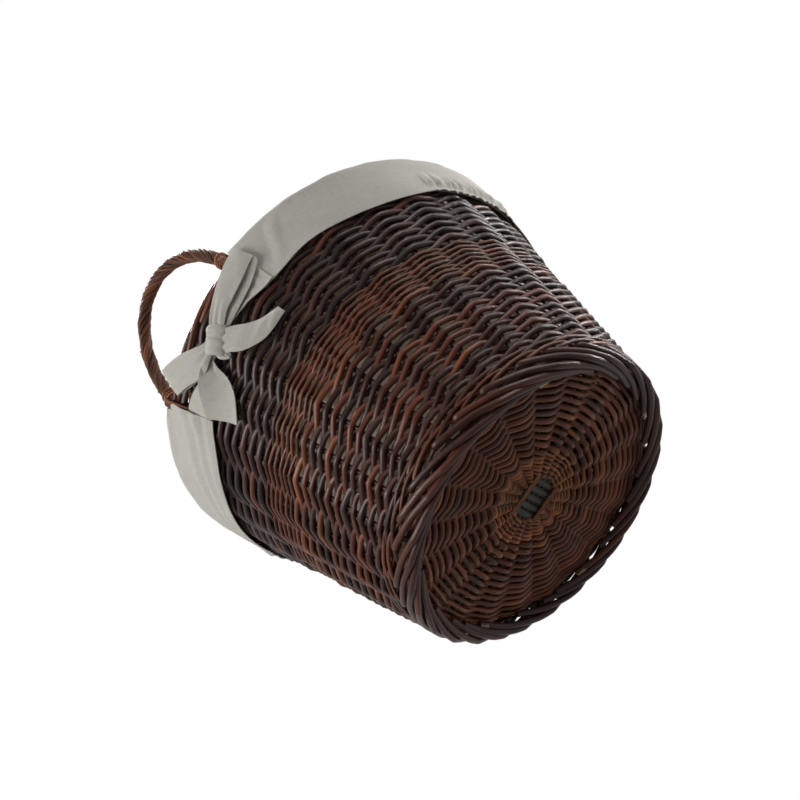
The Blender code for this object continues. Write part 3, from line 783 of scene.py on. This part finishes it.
# -------- cloth
class Cloth:
    """Collects grids of cloth, then makes one closed mesh of them with the cloth's thickness.

    The UV map "Cloth" holds metres across and along the cloth, and the attribute "edge" the distance
    to its hem.
    """

    def __init__(self, thickness):
        self.thickness = thickness
        self.verts, self.quads, self.uvs, self.edges = [], [], [], []
        self.count = 0

    def add(self, grid, across, along, edge, keep=None, closed=False):
        """grid is (rows, columns, 3); a closed one comes back to its first column.

        across and along are metres at its points, with one column more if the grid is closed.
        """
        rows, columns = grid.shape[:2]
        spans = columns if closed else columns - 1
        i, k = np.meshgrid(np.arange(rows - 1), np.arange(spans), indexing="ij")
        beside = (k + 1) % columns
        corners = ((i, k), (i, beside), (i + 1, beside), (i + 1, k))
        quads = np.stack([row * columns + column for row, column in corners], axis=-1)
        shape = (rows, spans + 1)
        uv = np.stack([np.broadcast_to(across, shape), np.broadcast_to(along, shape)], axis=-1)
        uvs = np.stack([uv[i, k], uv[i, k + 1], uv[i + 1, k + 1], uv[i + 1, k]], axis=-2)
        kept = np.ones((rows - 1, spans), bool) if keep is None else keep
        self.verts.append(grid.reshape(-1, 3))
        self.quads.append(quads[kept] + self.count)
        self.uvs.append(uvs[kept])
        self.edges.append(np.broadcast_to(edge, grid.shape[:2]).reshape(-1))
        self.count += rows * columns

    def build(self, name, material):
        quads = np.concatenate(self.quads)
        used, quads = np.unique(quads, return_inverse=True)
        quads = quads.reshape(-1, 4)
        verts = np.concatenate(self.verts)[used]
        edges = np.concatenate(self.edges)[used]
        uvs = np.concatenate(self.uvs)
        a, b, c, d = (verts[quads[:, corner]] for corner in range(4))
        diagonals = np.cross(c - a, d - b)
        normals = np.zeros_like(verts)
        for corner in range(4):
            np.add.at(normals, quads[:, corner], diagonals)
        offset = unit(normals) * self.thickness / 2
        count = len(verts)
        both = np.concatenate([verts + offset, verts - offset])

        # a side that only one face has is a free edge, and gets a rim
        starts = quads.reshape(-1)
        ends = np.roll(quads, -1, axis=1).reshape(-1)
        free = ~np.isin(ends.astype(np.int64) * count + starts, starts.astype(np.int64) * count + ends)
        a, b = starts[free], ends[free]
        rim = np.stack([b, a, a + count, b + count], axis=1)
        uv_start = uvs.reshape(-1, 2)[free]
        uv_end = np.roll(uvs, -1, axis=1).reshape(-1, 2)[free]
        rim_uvs = np.stack([uv_end, uv_start, uv_start, uv_end], axis=1)

        faces = np.concatenate([quads, quads[:, ::-1] + count, rim])
        corners = np.concatenate([uvs, uvs[:, ::-1], rim_uvs])
        starts = 4 * np.arange(len(faces))
        totals = np.full(len(faces), 4)
        attributes = {"edge": np.concatenate([edges, edges])}
        loops = faces.ravel()
        return mesh_piece(name, material, both, loops, starts, totals, "Cloth", corners, attributes, 55)


def ease(value, low, high):
    """0 below low, 1 above high, and smooth between them."""
    return eased(np.clip((value - low) / (high - low), 0.0, 1.0))


def bump_shape(value, middle, half_width):
    """A smooth rise to 1 at the middle that is gone at half_width from it."""
    return eased(np.clip(1 - np.abs(value - middle) / half_width, 0.0, 1.0))


# The hem's height by angle from the left handle, the same again from the right one.
HEM_ANGLES = np.array([20, 27, 33, 40, 46, 56, 65, 73, 90, 107, 118, 128, 138, 150, 158, 164.0])
HEM_HEIGHTS = np.array([0.2890, 0.2870, 0.2915, 0.2905, 0.2865, 0.2835, 0.2850, 0.2900,
                        0.2885, 0.2880, 0.2810, 0.2760, 0.2720, 0.2730, 0.2815, 0.2860])
NOTCH_SIDES = (21.2, 158.8)         # degrees from a handle at the border, and lower at the hem
HEM_SIDES = (20.5, 163.3)
GATHER_HALF = 17.0                  # degrees each side of the middle that the elastic draws in
BAG_CLEAR = 0.0186                  # from the wall's outside to the bag
BAG_FLOOR = 0.0346
BAG_NOTCH_TOP = 0.3325
ELASTIC_HEIGHTS = (0.2935, 0.2995)
ELASTIC_THICKNESS = 0.0006


def hem_height(angle):
    """Smoothly between the measured heights."""
    shifts = (-3.0, -1.5, 0.0, 1.5, 3.0)
    return sum(np.interp(angle + shift, HEM_ANGLES, HEM_HEIGHTS) for shift in shifts) / 5


def cuff_stand_off(angle, z, hem, shift):
    """How far the cuff stands from the wall, with its folds, gathers and the lift round a handle's leg."""
    above = z - hem
    stand = 0.0018 + 0.0008 * ease(above, 0.030, 0.0)
    phase = np.radians(angle)
    # long soft folds that run along the cuff from the notch further on
    along = ease(angle, 112, 128)
    drift = 0.012 * np.sin(1.7 * phase + 0.6 + shift)
    for height, width, size in ((0.010, 0.008, 0.0013), (0.026, 0.010, 0.0017), (0.046, 0.012, 0.0014)):
        stand = stand + along * size * bump_shape(above, height + drift * (0.4 + height * 14), width)
    # slack that hangs between the places where the border holds the cloth
    swell = np.sin(5.3 * phase + 1.1 + shift) * np.sin(2.1 * phase + 0.4)
    stand = stand + 0.0013 * (1 + swell) * bump_shape(above, 0.032, 0.045)
    slant = np.sin(9.0 * phase + 60 * above + shift) * np.sin(3.7 * phase - 25 * above)
    stand = stand + 0.0007 * slant * ease(above, 0.0, 0.02)
    # the crease that the tie pulls from the notch's corner up towards the rim
    pull = angle - 24.5 - above * 110
    raised = bump_shape(pull, 3.2, 3.0) * ease(above, 0.004, 0.018)
    stand = stand + 0.0016 * raised * ease(above, 0.066, 0.045)
    stand = stand - 0.0010 * bump_shape(pull, 0.0, 2.4) * ease(above, 0.0, 0.015)
    # gathers on the elastic, with a narrow frill below it
    gather = ease(np.abs(angle - 90), GATHER_HALF + 1.5, GATHER_HALF - 3.0)
    uneven = 0.9 * np.sin(angle * 0.21 + shift)
    fold_phase = angle * 1.15 + uneven + 0.5 * np.sin(angle * 0.53) - 16 * above
    fold = np.abs(np.sin(fold_phase)) ** 0.75
    fold = 0.66 * fold + 0.34 * np.abs(np.sin(1.63 * fold_phase + 0.8)) ** 0.8
    frill = 0.0036 * ease(above, 0.0065, 0.0)
    puff = 0.0058 * ease(above, 0.0070, 0.0150) * ease(above, 0.044, 0.013)
    stand = stand + gather * (fold * (frill + puff) - 0.0006 * ease(above, 0.052, 0.010))
    # clear of the rods that tie the handle down
    leg = bump_shape(angle, 161.0, 4.5) + bump_shape(angle, 19.0, 4.5)
    return stand + 0.0030 * leg * ease(above, 0.010, 0.030)


def make_liner(material):
    """Bag, fold over the border and outside cuff, as one cloth with a notch for each handle."""
    floor_radii = np.array([0.0006, 0.030, 0.060, 0.090, 0.115, 0.134, 0.145])
    wall_heights = np.concatenate([[0.0365, 0.0415], np.linspace(0.050, BAG_NOTCH_TOP, 24)])
    # over the border: how far out of the wall, and height
    fold = np.array([(-0.0212, 0.3375), (-0.0217, 0.3430), (-0.0218, 0.3500), (-0.0212, 0.3556),
                     (-0.0190, 0.3592), (-0.0150, 0.3609), (-0.0095, 0.3613), (-0.0045, 0.3609),
                     (-0.0004, 0.3592), (0.0020, 0.3563)])
    cuff_rows = 26
    side_columns, notch_columns = 320, 34

    # columns: a side of the basket, then a notch, twice
    side_share = np.arange(side_columns) / side_columns
    notch_share = np.arange(notch_columns) / notch_columns

    def columns_between(low, high):
        side = low + (high - low) * side_share
        notch = high + (180 + low - high) * notch_share
        return np.concatenate([side, notch])

    per_turn = side_columns + notch_columns
    is_side = np.concatenate([np.ones(side_columns, bool), np.zeros(notch_columns, bool)])
    is_side = np.tile(is_side, 2)
    which_half = np.repeat([0, 1], per_turn)
    base = np.tile(columns_between(*NOTCH_SIDES), 2)
    hem = hem_height(base)
    angles = math.pi + np.radians(base) + math.pi * which_half
    fine = 0.6 * np.sin(23 * angles + 0.4 * np.sin(3 * angles))
    creases = np.sin(11 * angles + 1.3) * np.sin(4 * angles) + fine

    rows, along, edges = [], [], []

    def add_row(radius, row_angles, z, edge):
        rows.append(cylinder(radius, row_angles, z))
        edges.append(np.broadcast_to(edge, row_angles.shape))

    for radius in floor_radii:
        ripple = 0.0007 * np.sin(3 * angles + 40 * radius) * ease(radius, 0.02, 0.06)
        add_row(radius, angles, BAG_FLOOR + 0.0008 + ripple, 1.0)
    for z in wall_heights:
        sag = 0.0030 * bump_shape(z, 0.150, 0.150) * (0.5 + 0.35 * creases)
        sag = sag + 0.0016 * ease(z, 0.10, 0.04) * (1 + np.sin(17 * angles + 30 * z))
        corner = 0.0045 * ease(z, 0.045, 0.032)
        edge = np.where(is_side | (z < BAG_NOTCH_TOP - 0.014), 1.0, BAG_NOTCH_TOP - z)
        clear = BAG_CLEAR + 0.0110 * ease(z, 0.240, 0.120)
        add_row(wall_outer(z) - clear - np.maximum(sag, 0.0) - corner, angles, z, edge)
    last_bag_row = len(rows) - 1
    bumps = 0.0004 * np.sin(28 * angles + 0.8) * np.sin(5 * angles + 0.3) + 0.0001 * np.sin(61 * angles)
    for (stand, z), edge in zip(fold, np.linspace(0.30, 0.075, len(fold))):
        lift = bumps * ease(z, 0.350, 0.360) + 0.0004
        add_row(wall_outer(z) + stand + bumps * ease(stand, -0.010, 0.0), angles, z + lift, edge)
    for row in range(1, cuff_rows + 1):
        share = row / cuff_rows
        low = NOTCH_SIDES[0] + (HEM_SIDES[0] - NOTCH_SIDES[0]) * ease(share, 0.0, 0.30)
        high = NOTCH_SIDES[1] + (HEM_SIDES[1] - 1.8 - NOTCH_SIDES[1]) * ease(share, 0.0, 0.16) + 1.8 * share
        degrees = np.tile(columns_between(low, high), 2)
        row_angles = math.pi + np.radians(degrees) + math.pi * which_half
        start = fold[-1, 1]
        gather = ease(np.abs(degrees - 90), GATHER_HALF + 1.5, GATHER_HALF - 3.0)
        ragged = gather * 0.0016 * np.sin(degrees * 1.27 + 2 * np.sin(degrees * 0.31)) * share ** 4
        z = start + (hem + ragged - start) * share
        stand = cuff_stand_off(degrees, z, hem, 0.9 * which_half)
        stand = 0.0020 + bumps + (stand - 0.0020 - bumps) * ease(share, 0.0, 0.16)
        from_side = np.radians(np.minimum(degrees - low, np.abs(high - degrees))) * RIM_RADIUS
        edge = np.minimum(z - hem, from_side)
        add_row(wall_outer(z) + stand, row_angles, z, np.abs(edge))

    grid = np.stack(rows)
    keep = np.ones((len(rows) - 1, 2 * per_turn), bool)
    keep[last_bag_row:, ~is_side] = False
    steps = np.linalg.norm(np.diff(grid[:, 60], axis=0), axis=1)
    along = np.concatenate([[0.0], np.cumsum(steps)])
    turns = np.concatenate([angles - math.pi, [2 * math.pi + angles[0] - math.pi]])
    cloth = Cloth(LINER_THICKNESS)
    cloth.add(grid, turns * 0.25, along[:, None], np.stack(edges), keep=keep, closed=True)
    piece = cloth.build("linen_liner", material)
    return finish_piece(piece, "linen", "cloth_liner")


def make_elastics(material):
    """A ribbed elastic behind the cuff's gathers on each side."""
    for label, middle in (("front", -math.pi / 2), ("back", math.pi / 2)):
        angle = middle + np.radians(np.linspace(-GATHER_HALF, GATHER_HALF, 90))
        z = np.linspace(*ELASTIC_HEIGHTS, 7)[:, None]
        ribs = 0.0001 * np.cos(np.arange(7) * math.pi)[:, None]
        grid = cylinder(wall_outer(z) + 0.0010 + ribs, angle[None, :], z)
        cloth = Cloth(ELASTIC_THICKNESS)
        cloth.add(grid, (angle - middle) * 0.257, z, 1.0)
        piece = cloth.build(f"hem_elastic_{label}", material)
        finish_piece(piece, "elastic", f"cuff_elastic_{label}")


# -------- tie bows
def rail(points, count):
    return curve_through([(a / 1000, b / 1000, c / 1000) for a, b, c in points], count)


def around_wall(local, turn):
    """From across, up and out of the wall, in metres from the knot's place, to where that is."""
    slant = math.atan(WALL_SLOPE)
    z = BOW_HEIGHT + local[..., 1] * math.cos(slant)
    angle = turn + BOW_ANGLE + local[..., 0] / wall_outer(BOW_HEIGHT)
    return cylinder(wall_outer(z) + local[..., 2], angle, z)


# Each ribbon lies between two edges, as millimetres across, up and out of the wall from the knot.
RIBBONS = {
    "upper_loop": (
        [(4, 5, 9), (12, 10, 12), (34, 19, 14), (54, 28, 13.5), (68, 34, 12.5), (83, 39.5, 11),
         (87, 41, 9.2), (84, 39, 7.6), (66, 30, 7), (50, 22, 6.8), (30, 9, 6.6), (6, 0, 6)],
        [(4, -9, 9), (13, -9, 11), (31, -4.5, 13.5), (48.5, -2.6, 14), (69, 2.6, 13), (86, 10, 11.4),
         (95, 13, 9.4), (92, 6, 7.8), (75, -3.5, 7.4), (54, -9, 7.4), (30, -10.5, 7), (6, -9, 6)], 1.6),
    "lower_loop": (
        [(-2, 3, 9), (-13, 7, 11), (-22.4, 16.5, 12), (-36.5, 32, 12), (-52, 46, 11), (-63, 54.5, 10),
         (-66, 57, 8.4), (-62, 54, 6.8), (-45, 39.5, 6.2), (-25, 19, 6), (-4, 2, 5.5)],
        [(-4, -10, 9), (-21, -9, 11), (-36.8, -10.7, 12), (-49.5, -4.1, 12), (-64.8, 11.1, 11),
         (-78.5, 23, 10), (-81.5, 25.5, 8.4), (-77, 22, 6.8), (-60, 7, 6), (-38, -8, 5.8),
         (-4, -9, 5.5)], 1.2),
    "upper_tail": (
        [(0, -4, 8), (11, -8.5, 9.5), (22, -18, 9.5), (34.5, -33, 8), (46.8, -43, 6.8), (57.4, -47.7, 6.4),
         (68.5, -52, 6)],
        [(-12, -12, 6), (-9, -20, 8), (-3, -29, 8.5), (7, -44, 7.5), (27, -58, 6.2), (45, -62.2, 5.6),
         (69, -61.5, 5.2)], 2.2),
    "lower_tail": (
        [(-14, 0, 7), (-24, -2, 10), (-40, -6, 15), (-55, -11, 16), (-70, -19, 14), (-86, -27, 11)],
        [(-10, -6, 7), (-18, -6, 8), (-26.5, -16, 6), (-31, -32, 4), (-38, -44, 3.6), (-51, -55.5, 4.2),
         (-75, -67, 5.6)], -3.2),
    "upper_strap": (
        [(88, 7, 5.2), (75, 5, 4.8), (55, 3, 5), (35, 0, 5.5), (8, -1, 5.5)],
        [(90, -20, 5.2), (78, -20, 4.6), (66, -17, 4.4), (55, -14, 4.6), (38, -11.5, 5),
         (8, -7, 5.5)], -1.4),
    "lower_strap": (
        [(-97, 13, 1.3), (-91, 13.5, 2.6), (-73.6, 8.4, 4.6), (-55.7, 1.6, 5.4), (-40, -4, 5.6),
         (-6, -2, 5)],
        [(-97, -22, 1.3), (-88, -23, 2.6), (-72, -20, 4.4), (-55, -15, 5), (-38, -11, 5.4), (-6, -8, 5)],
        1.0),
    "knot_end": (
        [(-8, -12, 7), (-6, -20, 7.5), (-4.5, -26, 6), (-6, -29, 4.4)],
        [(-17, -9, 5), (-17.5, -16, 6), (-14, -24, 5.4), (-10, -28.5, 4.4)], 1.4),
}
# Each wrap of the knot: its middle (across, up), half its width along the bow, half its reach, its
# height, and how far it is turned.
KNOT_WRAPS = (
    ((-6.5, -8.0), 0.0092, 0.0135, 0.0090, math.radians(20)),
    ((5.0, -2.5), 0.0078, 0.0140, 0.0086, math.radians(32)),
)


def make_ribbon(cloth, rails, crown, turn):
    """A ribbon between two rails, raised by crown millimetres in the middle of its width."""
    count, width_count = 72, 13
    first, second = (rail(points, count) for points in rails)
    share = np.linspace(0, 1, width_count)[None, :, None]
    local = first[:, None] * (1 - share) + second[:, None] * share
    swell = 1 - (2 * share[..., 0] - 1) ** 2
    line = np.linspace(0, 1, count)[:, None]
    ripple = 0.0005 * np.sin(9 * line * math.pi + 3.0 * share[..., 0]) * swell
    # the cloth is drawn into pleats where it runs into the knot
    distance = np.linalg.norm(local[..., :2].mean(axis=1, keepdims=True), axis=-1)
    pleats = 0.0011 * np.cos(5 * math.pi * share[..., 0]) * ease(distance, 0.050, 0.016)
    raised = crown / 1000 * swell * np.sign(local[..., 2]) * ease(distance, 0.0, 0.03)
    local[..., 2] += raised + ripple + pleats
    grid = around_wall(local, turn)
    width = np.linalg.norm(second - first, axis=1)[:, None]
    steps = np.linalg.norm(np.diff((first + second) / 2, axis=0), axis=1)
    along = np.concatenate([[0.0], np.cumsum(steps)])[:, None]
    across = (share[..., 0] - 0.5) * np.maximum(width, 0.02)
    edge = np.minimum(share[..., 0], 1 - share[..., 0]) * width
    cloth.add(grid, across, along, edge)


def make_knot_wrap(cloth, middle, half_width, reach, height, twist, turn):
    """One turn of the ribbon over the knot, from the wall on one side to the wall on the other."""
    around = np.radians(np.linspace(-35, 215, 44))[:, None]
    side = np.linspace(-1, 1, 15)[None, :]
    rounding = np.sqrt(np.clip(1 - (0.93 * side) ** 4, 0.0, 1.0))
    fold = 0.0004 * np.sin(3.2 * side + 2.4 * around) + 0.0003 * np.sin(7 * side - around)
    p = reach * np.cos(around) * (0.80 + 0.20 * rounding)
    out = 0.0065 + (height * np.sin(around) + fold) * (0.72 + 0.28 * rounding)
    a = half_width * side + 0.0012 * np.sin(around) * side
    cosine, sine = math.cos(twist), math.sin(twist)
    across = middle[0] / 1000 + a * cosine + p * sine
    up = middle[1] / 1000 + a * sine - p * cosine
    local = np.stack(np.broadcast_arrays(across, up, out), axis=-1)
    grid = around_wall(local, turn)
    cloth.add(grid[:, ::-1], half_width * side, reach * around, (1 - np.abs(side)) * half_width)


def make_bow(label, turn, material):
    """The cuff's two ties, knotted in a bow below the handle."""
    cloth = Cloth(RIBBON_THICKNESS)
    for rail_a, rail_b, crown in RIBBONS.values():
        make_ribbon(cloth, (rail_a, rail_b), crown, turn)
    for wrap in KNOT_WRAPS:
        make_knot_wrap(cloth, *wrap, turn)
    piece = cloth.build(f"linen_bow_{label}", material)
    return finish_piece(piece, "linen", f"tie_bow_{label}")


# -------- camera, light and floor
CAMERA_PLACE = (-0.9485, -0.3410, -0.6584)
CAMERA_TURN = tuple(math.radians(angle) for angle in (146.092, 35.471, -29.135))
CAMERA_LENS = 49.5
DIM_SIDE = (-0.6923, -0.2528, -0.6759)      # back along the main camera's axis, where the studio is dim
WORLD_LEVEL = 0.47
WORLD_SLOPE = 0.30
BASKET_MIDDLE = (0.0, 0.0, 0.18)
LIGHTS = (
    # name, place from the basket's middle as the main camera sees it (right, up, back), width, power
    ("left_softbox", (-1.9, -0.4, 0.9), 1.2, 28.0),
    ("right_softbox", (1.5, 1.2, -0.7), 0.4, 20.0),
    ("top_softbox", (0.2, 2.0, 0.3), 1.2, 14.0),
)
OPENING_LIGHT = ("opening_softbox", (-0.1, 0.1, 1.5), BASKET_MIDDLE, 0.6, 15.0)     # over the bag's mouth
FLOOR_HALF_SIZE = 6.0


def make_camera():
    camera = bpy.data.cameras.new("photo_camera")
    camera.lens = CAMERA_LENS
    camera.sensor_width = 36.0
    camera.clip_start = 0.01
    view = bpy.data.objects.new("photo_camera", camera)
    view.location = CAMERA_PLACE
    view.rotation_euler = Euler(CAMERA_TURN, "XYZ")
    bpy.context.scene.collection.objects.link(view)
    bpy.context.scene.camera = view
    return view


def make_area_light(name, place, target, size, power):
    light = bpy.data.lights.new(name, "AREA")
    light.shape = "DISK"
    light.size = size
    light.energy = power
    lamp = bpy.data.objects.new(name, light)
    lamp.location = place
    direction = Vector(target) - Vector(place)
    lamp.rotation_euler = direction.to_track_quat("-Z", "Y").to_euler()
    bpy.context.scene.collection.objects.link(lamp)


def make_world():
    """A white studio whose light comes mostly from behind and above; the photographer's side is dimmer."""
    world = bpy.data.worlds.new("studio")
    bpy.context.scene.world = world
    world.use_nodes = True
    tree = world.node_tree
    tree.nodes.clear()
    output = add_node(tree, "ShaderNodeOutputWorld")
    direction = add_node(tree, "ShaderNodeTexCoord").outputs["Generated"]
    toward = add_node(tree, "ShaderNodeVectorMath", operation="DOT_PRODUCT")
    tree.links.new(direction, toward.inputs[0])
    toward.inputs[1].default_value = DIM_SIDE
    strength = math_node(tree, "MULTIPLY_ADD", toward.outputs["Value"], -WORLD_SLOPE, WORLD_LEVEL)
    around = add_node(tree, "ShaderNodeBackground")
    feed(tree, around, {"Strength": strength})
    backdrop = add_node(tree, "ShaderNodeBackground")
    feed(tree, backdrop, {"Color": (1.0, 1.0, 1.0), "Strength": 1.0})
    seen = add_node(tree, "ShaderNodeLightPath").outputs["Is Camera Ray"]
    feed(tree, output, {"Surface": mix_shaders(tree, seen, around.outputs[0], backdrop.outputs[0])})


def make_lights(view):
    """The soft lights round the main camera's view, and one over the opening."""
    middle = Vector(BASKET_MIDDLE)
    axes = view.rotation_euler.to_matrix()
    for name, direction, size, power in LIGHTS:
        make_area_light(name, middle + axes @ Vector(direction), middle, size, power)
    make_area_light(*OPENING_LIGHT)


def make_floor():
    """A pale floor that is only there from above, so that the view from below sees the basket's foot."""
    mesh = bpy.data.meshes.new("floor")
    signs = ((-1, -1), (1, -1), (1, 1), (-1, 1))
    mesh.from_pydata([(x * FLOOR_HALF_SIZE, y * FLOOR_HALF_SIZE, 0) for x, y in signs], [], [(0, 1, 2, 3)])
    floor = bpy.data.objects.new("floor", mesh)
    floor.visible_shadow = False
    floor.visible_diffuse = False
    floor.visible_glossy = False
    bpy.context.scene.collection.objects.link(floor)
    material, tree, shader = new_material("pale_floor")
    feed(tree, shader, {"Base Color": (0.50, 0.50, 0.50), "Roughness": 0.8,
                        "Emission Color": (1.0, 1.0, 1.0), "Emission Strength": 0.62})
    geometry = add_node(tree, "ShaderNodeNewGeometry")
    clear = add_node(tree, "ShaderNodeBsdfTransparent")
    mix = mix_shaders(tree, geometry.outputs["Backfacing"], shader.outputs[0], clear.outputs[0])
    feed(tree, tree.nodes["Material Output"], {"Surface": mix})
    mesh.materials.append(material)


# -------- the basket
dark_stops = [(0.0, (0.042, 0.025, 0.022)), (0.35, (0.062, 0.027, 0.021)), (0.65, (0.120, 0.035, 0.020)),
              (1.0, (0.190, 0.063, 0.029))]
red_stops = [(0.0, (0.066, 0.026, 0.018)), (0.45, (0.140, 0.042, 0.020)), (1.0, (0.300, 0.105, 0.041))]
base_stops = [(0.0, (0.052, 0.029, 0.023)), (0.35, (0.080, 0.032, 0.023)), (0.65, (0.150, 0.043, 0.022)),
              (1.0, (0.240, 0.080, 0.034))]
centre_stops = [(0.0, (0.085, 0.033, 0.020)), (0.45, (0.190, 0.058, 0.025)), (1.0, (0.400, 0.145, 0.055))]
handle_stops = [(0.0, (0.050, 0.019, 0.011)), (0.5, (0.120, 0.042, 0.020)), (1.0, (0.250, 0.098, 0.045))]
stick_stops = [(0.0, (0.046, 0.042, 0.034)), (1.0, (0.078, 0.066, 0.050))]
cut_stops = [(0.0, (0.26, 0.19, 0.115)), (1.0, (0.42, 0.33, 0.22))]

bpy.context.scene.view_settings.view_transform = "Standard"
view = make_camera()
make_world()
make_lights(view)
make_floor()

dark = willow_material("dark_stained_willow", dark_stops)
red = willow_material("red_brown_willow", red_stops)
handle_willow = willow_material("handle_bark_willow", handle_stops, roughness=0.5, depth=0.00005,
                                shine=0.25)
stick_willow = willow_material("base_stick_willow", stick_stops, roughness=0.6)
linen = linen_material("cream_linen")

make_stakes(dark)
pairing_band("lower_pairing_rods", dark, "dark_willow", "lower_pairing", EVEN_ROD, bottom=0.0405,
             top=0.1660, rows=11, rod_radius=0.0032, swing=0.0050, seed=101, warm=0.55)
pairing_band("fine_pairing_rods", red, "red_willow", "fine_pairing", EVEN_ROD, bottom=0.1660,
             top=0.2090, rows=6, rod_radius=0.0021, swing=0.0044, seed=102, warm=0.38)
pairing_band("upper_pairing_rods", dark, "dark_willow", "upper_pairing", STEEP_ROD, bottom=0.2090,
             top=0.3430, rows=11, rod_radius=0.0037, swing=0.0050, seed=103, warm=0.18)
waling_band("upsett_waling_rods", red, "upsett_waling", bottom=0.0255, top=0.0410, rounds=2,
            rod_radius=0.0021, seed=104, warm=0.4)
make_foot_border(dark, willow_material("cut_willow", cut_stops, roughness=0.6))
make_top_border(dark)
make_base_sticks(stick_willow)
make_base_bindings(handle_willow)
centre_willow = willow_material("base_centre_willow", centre_stops)
base_pairing("base_weave_centre_rods", centre_willow, "red_willow", "base_weave_centre",
             first=0.0270, last=0.0580, rows=6, radii=(0.0019, 0.0021), seed=105, warm=0.95)
outer_willow = willow_material("base_willow", base_stops)
base_pairing("base_weave_outer_rods", outer_willow, "dark_willow", "base_weave_outer",
             first=0.0580, last=0.1665, rows=12, radii=(0.0034, 0.0027), seed=106, warm=0.84,
             narrowing=OUTER_NARROWING)
for label, turn in SIDES.items():
    make_handle(label, turn, handle_willow)
    make_handle_ties(label, turn, handle_willow)

make_liner(linen)
make_elastics(elastic_material("ribbed_elastic"))
for label, turn in SIDES.items():
    make_bow(label, turn, linen)
